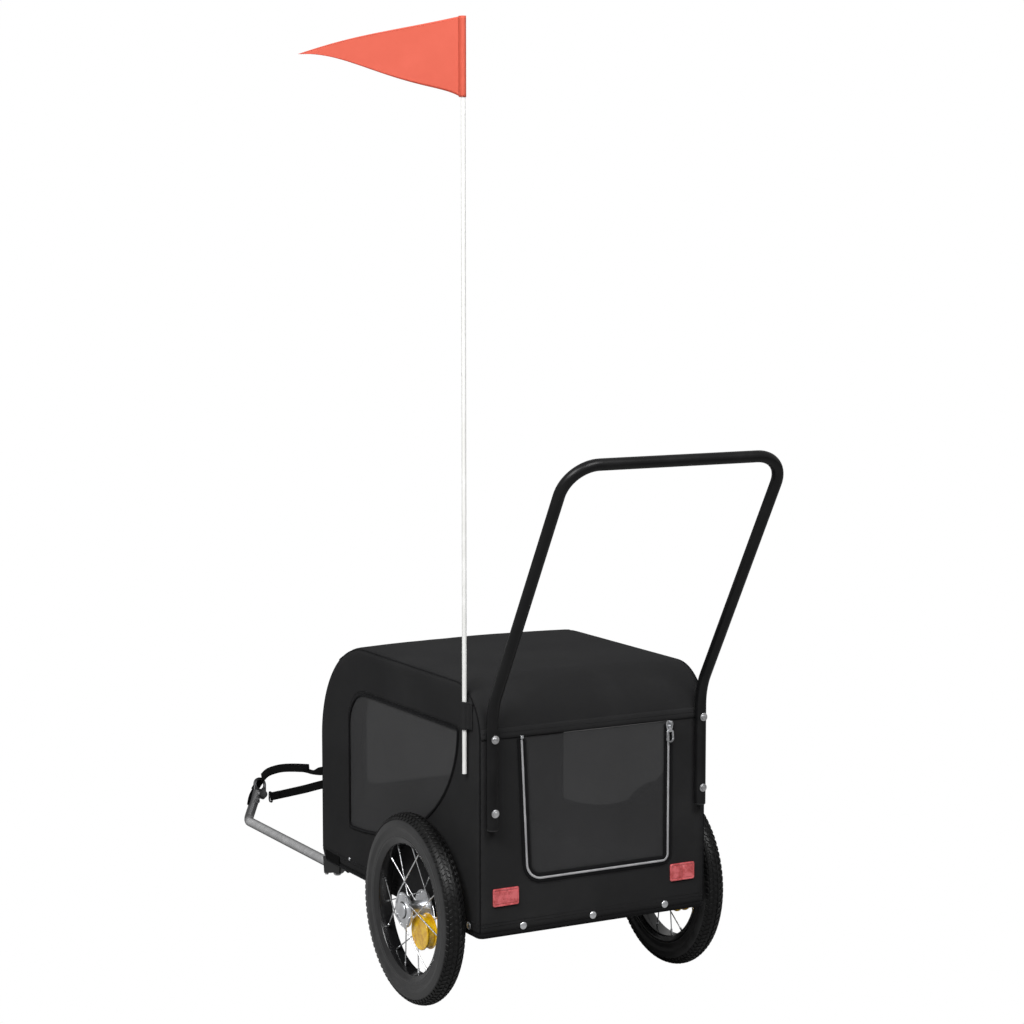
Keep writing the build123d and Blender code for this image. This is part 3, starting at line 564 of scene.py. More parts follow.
# corners of each opening on the wrap, as (across, along, radius); the rear zip leans on one side
rear_x, front_x = rear_door_high.x + DOOR_GAP, front_door_high.x + DOOR_GAP
rear_top_z, front_top_z = rear_door_high.z + DOOR_GAP, front_door_high.z + DOOR_GAP
rear_top, rear_foot = along_at(rear_top_z, True), along_at(rear_door_low.z - DOOR_GAP, True)
front_top, front_foot = along_at(front_top_z, False), along_at(front_door_low.z - DOOR_GAP, False)
rear_door_corners = [
    (rear_x, rear_top, 0), (-rear_x, rear_top, 0), (-rear_x, rear_foot, 10), (rear_x - ZIP_LEAN, rear_foot, 26)
]
front_door_corners = [
    (front_x, front_top, 0), (front_x, front_foot, 24), (-front_x, front_foot, 24), (-front_x, front_top, 0)
]
rear_opening = evenly(rounded_path(rear_door_corners, closed=True), 5, closed=True)
front_opening = evenly(rounded_path(front_door_corners, closed=True), 5, closed=True)
seam_reach = flat_half + EDGE_RADIUS * SEAM_ANGLE
hem_open = HEM_TURN + 2


def wrap_pattern():
    """The flat pattern of the wrap, its bottom left open inside the turned hem."""
    turn, end, cut = (rear - hem_open) - bottom_middle, profile_length, half_body - hem_open
    outline = [
        (seam_reach, 0), (seam_reach, end), (cut, end), (cut, end - turn), (-cut, end - turn), (-cut, end),
        (-seam_reach, end), (-seam_reach, 0), (-cut, 0), (-cut, turn), (cut, turn), (cut, 0),
    ]
    return evenly(np.array(outline, float), 6, closed=True)


flat, faces = cut_cloth(wrap_pattern(), [rear_opening, front_opening], CLOTH_GRID)
points = []
for u, along in flat:
    puckers = relief(wrap_point(u, along)) * max(0.0, 1 - abs(u) / PUCKERS_END)
    points.append(wrap_point(u, along, wrap_swell(u, along) + puckers))
cabin_wrap = piece("cabin_wrap", points, faces, black_cloth, "trailer", uv=flat)
thicken(cabin_wrap, CLOTH)
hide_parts("roof_panel", "rear_panel", "front_panel")
wrap_area = cut_area(wrap_pattern(), [rear_opening, front_opening])


# ==== Side walls ============================================================================
# Each side is one piece of the same cloth, sewn to the wrap all round.  It has a window cut in it,
# and a small hole by the hem where the stub axle comes out.

WINDOW_SHOULDER = 62
AXLE_HOLE = 7.5
WALL_SINK = 0.4
SEAM_FADE, WINDOW_FADE = 45, 25
SIDES = (("left", 1), ("right", -1))
side_inset = rounded_path(
    [
        (rear - EDGE_RADIUS, bottom + EDGE_RADIUS, 2),
        (rear - EDGE_RADIUS, top - EDGE_RADIUS, REAR_RADIUS - EDGE_RADIUS),
        (front + EDGE_RADIUS, top - EDGE_RADIUS, FRONT_RADIUS - EDGE_RADIUS),
        (front + EDGE_RADIUS, bottom + EDGE_RADIUS, FRONT_HEM_RADIUS - EDGE_RADIUS),
    ],
    closed=True,
    turn_step=3.0,
)
inset_dense = evenly(side_inset, 1.5, closed=True)


def unit_rows(vectors):
    """The same directions, each at length 1."""
    return vectors / np.linalg.norm(vectors, axis=1)[:, None]


def outwards(loop):
    """Outward directions along a flat closed loop."""
    run = unit_rows(np.roll(loop, -1, axis=0) - np.roll(loop, 1, axis=0))
    out = np.stack([run[:, 1], -run[:, 0]], axis=1)
    return out if out[0] @ (loop[0] - loop.mean(axis=0)) >= 0 else -out


inset_out = outwards(inset_dense)


def side_point(y, z, side, lift=0.0):
    """A place on a side wall, from the flat pattern's Y and Z; its edge is rolled over towards the seam."""
    p = np.array([y, z])
    if inside(p[None], inset_dense)[0]:
        return Vector((side * (half_body + lift), y, z))
    apart = np.linalg.norm(inset_dense - p, axis=1)
    nearest = int(np.argmin(apart))
    turn = min(float(apart[nearest]) / EDGE_RADIUS, SEAM_ANGLE)
    reach = inset_dense[nearest] + inset_out[nearest] * (EDGE_RADIUS + lift) * math.sin(turn)
    across = half_body - EDGE_RADIUS + (EDGE_RADIUS + lift) * math.cos(turn)
    return Vector((side * across, reach[0], reach[1]))


window_low, window_high = level_box("left_window")


def window_loop(grow=0.0):
    """The outline of a side window: upright front edge, round shoulder, long sweep over the wheel."""
    low, high = window_low.z - grow, window_high.z + grow
    fore, aft = window_low.y - grow, window_high.y + grow
    sweep_steps = 48
    arc = [
        (fore + (aft - fore) * math.cos(t), high - (high - low) * math.sin(t), 0)
        for t in (math.pi / 2 * k / sweep_steps for k in range(sweep_steps + 1))
    ]
    corners = [(fore, high, WINDOW_SHOULDER)] + [(aft, high, 3)] + arc[1:-1] + [(fore, low, 8)]
    return rounded_path(corners, closed=True)


window_cut = evenly(window_loop(0.3), 5, closed=True)
seam_loop = evenly(inset_dense + inset_out * EDGE_RADIUS * SEAM_ANGLE, 6, closed=True)


def circle(radius, count):
    """Points round a circle."""
    turns = np.linspace(0, 2 * math.pi, count, endpoint=False)
    return np.array([(radius * math.cos(t), radius * math.sin(t)) for t in turns])


axle_hole = circle(AXLE_HOLE, 24) + (0, wheel_radius)
side_flat, side_faces = cut_cloth(seam_loop, [window_cut, axle_hole], CLOTH_GRID)


def edge_fade(p, loop, width):
    """0 on an edge and 1 well away from it, so that sewn edges lie still."""
    return min(1.0, float(np.min(np.linalg.norm(loop - p, axis=1))) / width)


for side_name, side in SIDES:
    points = []
    for y, z in side_flat:
        p = np.array([y, z])
        still = edge_fade(p, seam_loop, SEAM_FADE) * edge_fade(p, window_cut, WINDOW_FADE)
        wave = relief(Vector((side * 300, y, z)), slow=1.0, fine=0.2)
        points.append(side_point(y, z, side, still * (wave - WALL_SINK)))
    wall = piece(f"{side_name}_side_wall", points, side_faces, black_cloth, "trailer", uv=side_flat)
    thicken(wall, CLOTH)
    if side < 0:
        wall.data.update()
    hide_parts(f"{side_name}_side_panel")
    cut_area(seam_loop, [window_cut, axle_hole])


# ==== Seams and bindings ====================================================================
# A narrow welt marks where the sides are sewn to the wrap.  Each window is bound with a thick black
# piping, with a row of stitches round it.


ACROSS, BACK, UP = np.eye(3)


def bands(n, count, first=0, closed=False):
    """Faces between each ring of n points and the next, for rings that follow on from a first point."""
    faces = []
    for k in range(count if closed else count - 1):
        a, b = first + k * n, first + (k + 1) % count * n
        faces += [(a + i, a + (i + 1) % n, b + (i + 1) % n, b + i) for i in range(n)]
    return faces


def capped_bands(n, count):
    """Faces of rings one after another, closed at both ends."""
    return [tuple(range(n))[::-1], tuple(range((count - 1) * n, count * n))] + bands(n, count)


def sweep(path, section, closed=False, normal=None):
    """Points and faces of a section carried along a path; the section is given as (side, out) pairs."""
    path = np.asarray(path, float)
    count = len(path)
    run = np.roll(path, -1, axis=0) - np.roll(path, 1, axis=0) if closed else np.gradient(path, axis=0)
    run = unit_rows(run)
    if normal is None:
        guess = UP if abs(run[0][2]) < 0.9 else ACROSS
        out = guess - run[0] * (guess @ run[0])
        outs = []
        for k in range(count):
            out = out - run[k] * (out @ run[k])
            out /= np.linalg.norm(out)
            outs.append(out)
        outs = np.array(outs)
        if closed:
            miss = outs[-1] - run[0] * (outs[-1] @ run[0])
            miss /= np.linalg.norm(miss)
            twist = math.atan2(float(np.cross(miss, outs[0]) @ run[0]), float(miss @ outs[0]))
            for k in range(count):
                angle = twist * k / count
                outs[k] = outs[k] * math.cos(angle) + np.cross(run[k], outs[k]) * math.sin(angle)
    else:
        outs = np.broadcast_to(np.asarray(normal, float), path.shape).copy()
        outs = unit_rows(outs - run * np.sum(outs * run, axis=1)[:, None])
    sides = np.cross(run, outs)
    points = []
    for k in range(count):
        shape = section(k / max(1, count - 1)) if callable(section) else section
        points += [path[k] + sides[k] * a + outs[k] * b for a, b in shape]
    n = len(shape)
    faces = bands(n, count, closed=closed)
    if not closed:
        faces += [tuple(range(n))[::-1], tuple(range((count - 1) * n, count * n))]
    return points, faces


def ring(radius, sides=10, squash=1.0):
    """A round section, flattened if asked."""
    turns = [2 * math.pi * k / sides for k in range(sides)]
    return [(radius * math.cos(t), radius * squash * math.sin(t)) for t in turns]


def flat_section(width, thickness):
    """A flat band with rounded edges."""
    a, b = width / 2, thickness / 2
    c = a - b * 0.5
    return [(-a, 0), (-c, b), (0, b), (c, b), (a, 0), (c, -b), (0, -b), (-c, -b)]


def together(parts):
    """Several lots of points and faces as one."""
    points, faces = [], []
    for some_points, some_faces in parts:
        first = len(points)
        points += list(some_points)
        faces += [tuple(first + i for i in face) for face in some_faces]
    return points, faces


def stitch_row(path, outs, length=3.2, gap=1.6, width=0.8, closed=False):
    """A row of stitches along a path: each one a short bead of thread lying on the cloth."""
    path = np.asarray(path, float)
    outs = np.asarray(outs, float)
    if closed:
        path, outs = np.vstack([path, path[:1]]), np.vstack([outs, outs[:1]])
    along = run_along(path)
    parts = []
    for start in np.arange(gap, along[-1] - length, length + gap):
        marks = np.linspace(start, start + length, 4)
        line = np.stack([np.interp(marks, along, path[:, k]) for k in range(3)], axis=1)
        out = np.array([np.interp(start, along, outs[:, k]) for k in range(3)])
        line += out * np.array([-0.1, 0.45, 0.45, -0.1])[:, None] * width
        parts.append(sweep(line, ring(width / 2, 5), normal=out))
    return together(parts)


piping_black = cloth_material(
    "black_binding", (0.0035, 0.0035, 0.0037), (0.007, 0.007, 0.0075), threads=2400, sheen=0.05, roughness=0.7
)
thread_black = cloth_material(
    "black_thread", (0.006, 0.006, 0.006), (0.013, 0.013, 0.013), threads=4000, sheen=0.1, roughness=0.6
)

PIPING = 5.0
WELT = 2.0
STITCHES_OUT = 6.5
for side_name, side in SIDES:
    path = [(side * (half_body + 0.6), y, z) for y, z in evenly(window_loop(1.8), 5, closed=True)]
    bound = sweep(path, ring(PIPING / 2, 10, 0.8), closed=True, normal=(side, 0, 0))
    binding = piece(f"{side_name}_window_piping", *bound, piping_black, "trailer")
    path = [(side * (half_body + 0.3), y, z) for y, z in evenly(window_loop(STITCHES_OUT), 3, closed=True)]
    stitches = stitch_row(path, [(side, 0, 0)] * len(path), closed=True)
    sewing = piece(f"{side_name}_window_stitches", *stitches, thread_black, "trailer")
    welt_x = half_body - EDGE_RADIUS + EDGE_RADIUS * math.cos(SEAM_ANGLE)
    welt_loop = evenly(inset_dense + inset_out * EDGE_RADIUS * math.sin(SEAM_ANGLE), 6, closed=True)
    welted = sweep([(side * welt_x, y, z) for y, z in welt_loop], ring(WELT / 2, 8), closed=True)
    welt = piece(f"{side_name}_seam_welt", *welted, piping_black, "trailer")


# ==== Windows ===============================================================================
# The windows are an open black net, fine enough to look smoky; what is behind shows through as shapes.


NET_COVER = 0.87
NET_SAG = 1.6


def net_material(name, thread):
    """Black netting: square holes between fine threads, partly filled by their bloom."""
    material, tree, place, marks = uneven_material(name, 5.0, 0.3, 0.8)
    weave = effect(tree, plain_weave, place["UV"], Threads_per_metre=900.0)
    finish_material(
        tree,
        Base_Color=mixed_colour(tree, marks["Slow"], thread, tuple(c * 1.35 for c in thread)),
        Alpha=mixed_value(tree, weave["Height"], NET_COVER - 0.08, NET_COVER + 0.08),
        Normal=bumped(tree, weave["Height"], 0.0001, 0.5),
        Roughness=0.7,
        Specular_IOR_Level=0.2,
        Sheen_Weight=0.1,
    )
    return material


black_net = net_material("black_net", (0.021, 0.021, 0.022))
# painted shade: the side windows take a darker copy of the door net, which holds back the key light that falls
# on them
window_net_shaded = net_material("window_net_shaded", (0.0145, 0.0145, 0.0155))
window_flat, window_faces = cut_cloth(evenly(window_loop(2.0), 6, closed=True), [], 9)
for side_name, side in SIDES:
    points = []
    for y, z in window_flat:
        sag = NET_SAG * edge_fade(np.array([y, z]), window_cut, 50)
        points.append((side * (half_body - 0.6 - sag + 0.5 * relief(Vector((side * 40, y, z)), 1, 0)), y, z))
    net = piece(f"{side_name}_net", points, window_faces, window_net_shaded, "trailer", uv=window_flat)
    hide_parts(f"{side_name}_window")
    cut_area(evenly(window_loop(2.0), 6, closed=True))


# ==== Rear door =============================================================================
# The rear door is a net panel closed by a zip down its left, along its bottom and up its right.
# It hangs from a seam under the lapped edge of the roof cloth, and lifts.  The front door is the same.

LEAF_GAP = 1.0
ZIP_TAPE = 7
TOOTH_PITCH = 2.4


def wrap_place(u, along, lift):
    """A place on the wrap where a door lies, which swells less than the cloth round it."""
    return wrap_point(u, along, wrap_swell(u, along) * 0.25 + lift)


def door_leaf(name, corners, body, node):
    """The net leaf of a door, a little smaller than its opening."""
    outline = evenly(rounded_path(corners, closed=True), 5, closed=True)
    shrunk = outline - unit_rows(outline - outline.mean(axis=0)) * LEAF_GAP
    flat, faces = cut_cloth(shrunk, [], 9)
    points = []
    for u, along in flat:
        still = edge_fade(np.array([u, along]), shrunk, 60)
        points.append(wrap_place(u, along, -0.5 - still * (1.5 + 1.0 * relief(Vector((u, along, 70)), 1, 0.2))))
    leaf = piece(name, points, faces, black_net, body, uv=flat)
    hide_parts(node)
    cut_area(shrunk)


door_leaf("rear_door_net", rear_door_corners, "rear_flap", "rear_door")
door_leaf("front_door_net", front_door_corners, "front_flap", "front_door")


def edge_place(edge, spacing, lift):
    """Points and outward directions along a line on the wrap."""
    line = evenly(np.asarray(edge, float), spacing)
    points = np.array([wrap_place(u, s, lift) for u, s in line])
    return points, unit_rows(np.array([wrap_place(u, s, lift + 5) for u, s in line]) - points)


def zip_course(corners, start):
    """The part of a door's outline that the zip follows, top to top."""
    ordered = corners[start:] + corners[:start]
    ordered[0] = (*ordered[0][:2], 0)
    ordered[-1] = (*ordered[-1][:2], 0)
    return rounded_path(ordered)


def zip_teeth(points, outs, first, bare):
    """Moulded teeth of one half of the zip: small rounded blocks that reach over the middle line."""
    parts = []
    run = unit_rows(np.gradient(points, axis=0))
    side = np.cross(run, outs)
    hand = 1 if first % 2 == 0 else -1
    for k in range(first + bare, len(points) - bare, 2):
        middle = points[k] + side[k] * 0.45 * hand
        corners = []
        for height, half_long, half_wide in ((-0.7, 0.95, 1.25), (0.5, 0.95, 1.25), (0.95, 0.6, 0.9)):
            corners += [
                middle + run[k] * a * half_long + side[k] * b * half_wide + outs[k] * height
                for a, b in ((-1, -1), (1, -1), (1, 1), (-1, 1))
            ]
        parts.append((corners, capped_bands(4, 3)))
    return together(parts)


def plastic_material(name, dark, light, roughness=0.45, specular=0.5, grain=0.00004, marks_per_metre=25.0):
    """Moulded or painted stuff: an even tone with faint handling marks and a fine orange peel."""
    material, tree, _, marks = uneven_material(name, marks_per_metre, 0.35, 0.75)
    finish_material(
        tree,
        Base_Color=mixed_colour(tree, marks["Slow"], dark, light),
        Roughness=mixed_value(tree, marks["Slow"], roughness - 0.06, roughness + 0.06),
        Normal=bumped(tree, marks["Fine"], grain, 0.5),
        Specular_IOR_Level=specular,
    )
    return material


def metal_material(name, dark, light, roughness=0.25, marks_per_metre=40.0):
    """Bare or plated metal, a little cloudier where it has been handled."""
    material, tree, _, marks = uneven_material(name, marks_per_metre, 0.3, 0.8)
    finish_material(
        tree,
        Base_Color=mixed_colour(tree, marks["Slow"], dark, light),
        Roughness=mixed_value(tree, marks["Slow"], roughness, roughness + 0.18),
        Normal=bumped(tree, marks["Fine"], 0.00003, 0.5),
        Metallic=1.0,
    )
    return material


zip_grey = plastic_material("zip_grey", (0.30, 0.30, 0.31), (0.42, 0.42, 0.43), roughness=0.4)
bright_metal = metal_material("bright_zinc", (0.62, 0.63, 0.65), (0.85, 0.86, 0.88), roughness=0.18)
black_tape = cloth_material("zip_tape", (0.005, 0.005, 0.0055), (0.01, 0.01, 0.0105), threads=2200, sheen=0.05)


def build_zip(name, corners, start, leaf_body):
    """A zip round a door: its tapes, and its teeth, which part when the leaf lifts."""
    course = zip_course(corners, start)
    points, outs = edge_place(course, 5, 0.2)
    side = np.cross(unit_rows(np.gradient(points, axis=0)), outs)
    halfway = len(points) // 2
    leaf_middle = np.mean([wrap_place(u, s, 0) for u, s, _ in corners], axis=0)
    hand = math.copysign(1.0, float((leaf_middle - points[halfway]) @ side[halfway]))
    for part, body, offset in (("frame", "trailer", -hand), ("leaf", leaf_body, hand)):
        kept = slice(None) if part == "frame" else slice(1, -1)
        line = points + side * offset * (ZIP_TAPE / 2 + 0.4) + outs * 0.3
        woven = sweep(line[kept], flat_section(ZIP_TAPE, 0.9), normal=outs[kept])
        tape = piece(f"{name}_{part}_tape", *woven, black_tape, body)
        line = points + side * offset * (ZIP_TAPE + 1.8) + outs * 0.4
        stitches = stitch_row(line[kept], outs[kept], width=0.7)
        sewing = piece(f"{name}_{part}_stitches", *stitches, thread_black, body)
    points, outs = edge_place(course, TOOTH_PITCH / 2, 1.3)
    for part, body, first in (("frame", "trailer", 0), ("leaf", leaf_body, 1)):
        row = zip_teeth(points, outs, first if hand > 0 else 1 - first, bare=0 if part == "frame" else 4)
        teeth = piece(f"{name}_teeth_{part}", *row, zip_grey, body)
    return points, outs


rear_zip, rear_zip_out = build_zip("rear_zip", rear_door_corners, 1, "rear_flap")
front_zip, front_zip_out = build_zip("front_zip", front_door_corners, 0, "front_flap")


# ==== Zip sliders ===========================================================================
# A die-cast slider sits at the top of the right run of each zip, with a pierced pull tab hanging on it;
# a crimped stop closes the top of the left run.


def solid_plate(outline, low, high, centre, right, up, out, bevel=0.4):
    """A plate from an outline in millimetres, with its outer edge chamfered."""
    outline = np.asarray(outline, float)
    middle = outline.mean(axis=0)
    reach = np.maximum(np.linalg.norm(outline - middle, axis=1), 1e-6)
    shrunk = middle + (outline - middle) * (1 - bevel / reach)[:, None]
    rings = [(shrunk, low), (outline, low + bevel), (outline, high - bevel), (shrunk, high)]
    points = [centre + right * a + up * b + out * h for loop, h in rings for a, b in loop]
    return points, capped_bands(len(outline), 4)


def rounded_rectangle(width, height, radius, at=(0, 0)):
    """The outline of a plate with four rounded corners."""
    signs = ((-1, -1), (1, -1), (1, 1), (-1, 1))
    corners = [(at[0] + a * (width / 2), at[1] + b * (height / 2), radius) for a, b in signs]
    return rounded_path(corners, closed=True, turn_step=15)


SLIDER = [(0, 8.4), (5.6, 7), (6.8, 2.5), (4.2, -8), (-4.2, -8), (-6.8, 2.5), (-5.6, 7)]
BRIDGE = ((5.5, 3.4), (5.5, 5.4), (3.2, 6.8), (-2.4, 6.8), (-5.0, 5.4), (-5.0, 3.4))
PULL_TAB = [(-4.6, 8, 3), (-5.8, -9.5, 4.4), (5.8, -9.5, 4.4), (4.6, 8, 3)]


def build_slider(name, place, up, out):
    """Slider body, bridge and pull tab, hanging straight down from the bridge."""
    up = up - out * (up @ out)
    up /= np.linalg.norm(up)
    right = np.cross(up, out)
    neck = place - up * 2.0 + out * 5.2
    tab_centre = place - up * 16 + out * 4.6
    bridge = evenly(np.array([place + up * a + out * b for a, b in BRIDGE]), 1.0)
    tab_edge = evenly(rounded_path(PULL_TAB, closed=True, turn_step=15), 1.2, closed=True)
    tab = [tab_centre + right * a + up * b for a, b in tab_edge]
    parts = [
        solid_plate(SLIDER, 1.2, 3.6, place, right, up, out),
        sweep(bridge, flat_section(3.6, 1.3), normal=right),
        solid_plate(rounded_rectangle(5.4, 11, 2.2), -0.8, 0.8, neck - up * 2.6, right, up, out),
        sweep(tab, flat_section(3.3, 1.5), closed=True, normal=out),
    ]
    slider = piece(name, *together(parts), bright_metal, "trailer", smooth=False)


def build_stop(name, place, along, out):
    """The crimped metal stop at the end of a zip."""
    crimp = solid_plate(rounded_rectangle(5.6, 5.0, 1.4), -0.3, 2.0, place, np.cross(along, out), along, out)
    stop = piece(name, *crimp, bright_metal, "trailer")


for name, line, outs in (("rear", rear_zip, rear_zip_out), ("front", front_zip, front_zip_out)):
    starts_right = line[0][0] < line[-1][0]
    inward, left_end = (6, -1) if starts_right else (-7, 0)
    build_slider(f"{name}_zip_slider", line[inward] + outs[inward] * 0.6, UP, outs[inward])
    out = outs[left_end]
    build_stop(f"{name}_zip_stop", line[left_end] + out * 0.4, UP - out * out[2], out)


# ==== Lapped roof seams =====================================================================
# Above each door the roof cloth is folded under and lapped over the wall, with two rows of stitches.

LAP = 14
LAP_COLUMNS = 90
LAP_SECTION = ((0.9, 0.2), (0.6, 1.4), (2.0, 2.3), (LAP * 0.5, 2.0), (LAP, 1.3), (LAP + 3, 0.2))


def strips(n, count):
    """Faces between each row of n points and the next, open at both ends of the rows."""
    rows = [(k * n, (k + 1) * n) for k in range(count - 1)]
    return [(a + i, a + i + 1, b + i + 1, b + i) for a, b in rows for i in range(n - 1)]


columns = np.linspace(2 - seam_reach, seam_reach - 2, LAP_COLUMNS)
for name, height, base, upwards in (("rear", rear_top_z, rear_top, 1), ("front", front_top_z, front_top, -1)):
    points = []
    for u in columns:
        wander = 0.5 * noise.noise(Vector((u * 0.03, height * 0.1, 0)))
        for a, b in LAP_SECTION:
            lift = wrap_swell(u, base + upwards * a) * 0.9 + b
            points.append(wrap_point(u, base + upwards * (a + wander), lift))
    uv = [(u, a) for u in columns for a, _ in LAP_SECTION]
    faces = strips(len(LAP_SECTION), LAP_COLUMNS)
    lap = piece(f"{name}_roof_lap", points, faces, black_cloth, "trailer", uv=uv)
    thicken(lap, 0.8)
    for row, offset in enumerate((3.0, 9.5)):
        along = base + upwards * offset
        line = np.array([wrap_point(u, along, wrap_swell(u, base) * 0.9 + 2.2 - row * 0.3) for u in columns])
        outs = unit_rows(np.array([wrap_point(u, along, 8) - wrap_point(u, along, 0) for u in columns]))
        stitches = stitch_row(line, outs, width=0.7)
        sewing = piece(f"{name}_lap_stitches_{row + 1}", *stitches, thread_black, "trailer")


# ==== Hem and snaps =========================================================================
# The hem is turned under round the floor tube, stitched twice and held to it by snap fasteners.

HEM_BAND = 17
HEM_ROLL = 4.2
SNAP = 12
SNAP_SMALL = 6
SNAP_HEIGHT = 1.8
SNAP_SPREAD = (129, 4, -129)


def hem_ring(height, stand):
    """The hem line round the cabin at a height, standing off the cloth, and its outward directions."""
    below_turn = max(0, bottom + FRONT_HEM_RADIUS - height)
    fore = front + (FRONT_HEM_RADIUS - math.sqrt(FRONT_HEM_RADIUS**2 - below_turn**2))
    corners = [(half_body, rear), (-half_body, rear), (-half_body, fore), (half_body, fore)]
    rounded = rounded_path([(x, y, EDGE_RADIUS) for x, y in corners], closed=True, turn_step=8)
    dense = evenly(rounded, 6, closed=True)
    out = outwards(dense)
    path = [(x + nx * stand, y + ny * stand, height) for (x, y), (nx, ny) in zip(dense, out)]
    return path, [(nx, ny, 0) for nx, ny in out]


def lathe(profile, centre, out, sides=48):
    """A shape turned about an axis through centre; profile is (radius, height) pairs, closed at both ends."""
    out = np.asarray(out, float) / np.linalg.norm(out)
    right = np.cross(UP if abs(out[2]) < 0.9 else ACROSS, out)
    right /= np.linalg.norm(right)
    up = np.cross(out, right)
    points = []
    for r, h in profile:
        for s in range(sides):
            t = 2 * math.pi * s / sides
            points.append(centre + right * r * math.cos(t) + up * r * math.sin(t) + out * h)
    last = (len(profile) - 1) * sides
    faces = [tuple(range(sides))[::-1], *bands(sides, len(profile)), tuple(range(last, last + sides))]
    return points, faces


def snap(diameter, centre, out):
    """A snap fastener's cap: a low dome with a rolled edge, standing on the cloth."""
    radius, edge = diameter / 2, 0.6
    steps = [(radius, -0.4), (radius, edge), (radius * 0.93, edge + 0.35)]
    for turn in (math.pi / 2 * k / 4 for k in range(1, 5)):
        rise = (SNAP_HEIGHT - edge) * math.sin(turn)
        steps.append((radius * 0.85 * math.cos(turn) + 1e-3, edge + 0.3 + rise))
    return lathe(steps, np.array(centre), out, sides=20)


for row, rise in enumerate((HEM_BAND, HEM_BAND + 5)):
    stitches = stitch_row(*hem_ring(bottom + rise, 0.45), width=0.75, closed=True)
    sewing = piece(f"hem_stitches_{row + 1}", *stitches, thread_black, "trailer")

snap_parts = []
(front_snap_y, front_snap_z), (front_lean, front_drop) = on_profile(along_at(bottom + 14, False))
for x in SNAP_SPREAD:
    snap_parts.append(snap(SNAP, [x, rear + 0.4, bottom + 11], (0, 1, 0)))
    snap_parts.append(snap(SNAP, [x, front_snap_y - 0.4, front_snap_z], (0, front_lean, front_drop)))
for side in (-1, 1):
    for y, z, size in ((128, 13, SNAP), (-301, 23, SNAP_SMALL)):
        snap_parts.append(snap(size, [side * (half_body + 0.4), y, bottom + z], (side, 0, 0)))
snaps = piece("hem_snaps", *together(snap_parts), bright_metal, "trailer")

rolled = sweep(hem_ring(bottom + HEM_ROLL - 2, 1.2 - HEM_ROLL)[0], ring(HEM_ROLL, 12), closed=True)
hem_roll = piece("hem_roll", *rolled, piping_black, "trailer")


# ==== Tyres =================================================================================
# Small black pneumatic tyres: a smooth sidewall with a bead line, and a crown of low knobs in
# staggered rows on either side of a middle groove.

TYRE_CASE = 1.6
KNOB_PITCH = 5.2
half_track = (left_tyre_box[0].x + left_tyre_box[1].x) / 2 / MM - axle_middle.x / MM
tyre_width = (left_tyre_box[1].x - left_tyre_box[0].x) / MM
crown_radius = wheel_radius - tyre_width / 2


def turned(profile, centre_x, steps):
    """A shape turned about the axle, from its section: (across, out from the axle) pairs, in a closed loop."""
    points = []
    for k in range(steps):
        t = 2 * math.pi * k / steps
        points += [(centre_x + a, r * math.cos(t), wheel_radius + r * math.sin(t)) for a, r in profile]
    return points, bands(len(profile), steps, closed=True)


def tyre_surface(lean, lift):
    """Across and out from the axle, at an angle round the tyre's section from its crown."""
    half = tyre_width / 2 - TYRE_CASE
    return (half + lift) * math.sin(lean), crown_radius + (half + lift) * math.cos(lean)


# the sidewall is a little paler and glossier than the tread, which starts at a distance from the axle
tread_start = crown_radius + 0.25 * tyre_width
rubber, tree, place, marks = uneven_material("tyre_rubber", 30.0, 0.35, 0.7)
from_axle = add_node(tree, "VectorMath", {0: place["Object"], 1: axle_middle}, operation="SUBTRACT")
level_part = {0: from_axle.outputs["Vector"], 1: (0, 1, 1)}
in_wheel = add_node(tree, "VectorMath", level_part, operation="MULTIPLY")
out_from_axle = add_node(tree, "VectorMath", {0: in_wheel.outputs["Vector"]}, operation="LENGTH")
on_tread = smooth_mask(tree, out_from_axle.outputs["Value"], (tread_start - 3) * MM, (tread_start + 1) * MM)
wall_colour = mixed_colour(tree, marks["Slow"], (0.019, 0.019, 0.0193), (0.03, 0.03, 0.0305))
tread_colour = mixed_colour(tree, marks["Slow"], (0.003, 0.003, 0.0031), (0.006, 0.006, 0.0061))
finish_material(
    tree,
    Base_Color=mixed_colour(tree, on_tread, wall_colour, tread_colour),
    Roughness=mixed_value(tree, marks["Slow"], 0.36, 0.5),
    Specular_IOR_Level=mixed_value(tree, on_tread, 0.5, 0.22),
    Normal=bumped(tree, marks["Fine"], 0.0001, 0.6),
)

bead_half = (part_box("left_rim")[1][0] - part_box("left_rim")[0][0]) / 2 / MM
bead_radius = crown_radius - 18
bead = [(bead_half + across, bead_radius + out) for across, out in ((0, -0.5), (1.0, 1.5), (1.2, 4))]
tyre_section = [(-across, out) for across, out in bead]
for angle in (-118 + 118 * 2 * k / 44 for k in range(45)):
    line = 0.55 if 62 < abs(angle) < 68 or 96 < abs(angle) < 101 else 0.0
    groove = -0.7 if abs(angle) < 4 else 0.0
    tyre_section.append(tyre_surface(math.radians(angle), line + groove))
tyre_section += bead[::-1]
tyre_section += [(across, bead_radius + 1.5) for across in (bead_half - 3, 0, 3 - bead_half)]


def knob(centre_x, angle, lean, half_long, half_wide, skew):
    """One tread block: a rounded block standing on the casing."""
    points = []
    for lift, shrink in ((-0.8, 1.0), (TYRE_CASE * 0.75, 1.0), (TYRE_CASE, 0.78)):
        for a, b in ((-1, -1), (0, -1), (1, -1), (1, 1), (0, 1), (-1, 1)):
            across, out = tyre_surface(lean + half_wide * b * shrink, lift)
            around = angle + (half_long * a * shrink + skew * b) / wheel_radius
            points.append((centre_x + across, out * math.cos(around), wheel_radius + out * math.sin(around)))
    return points, capped_bands(6, 3)


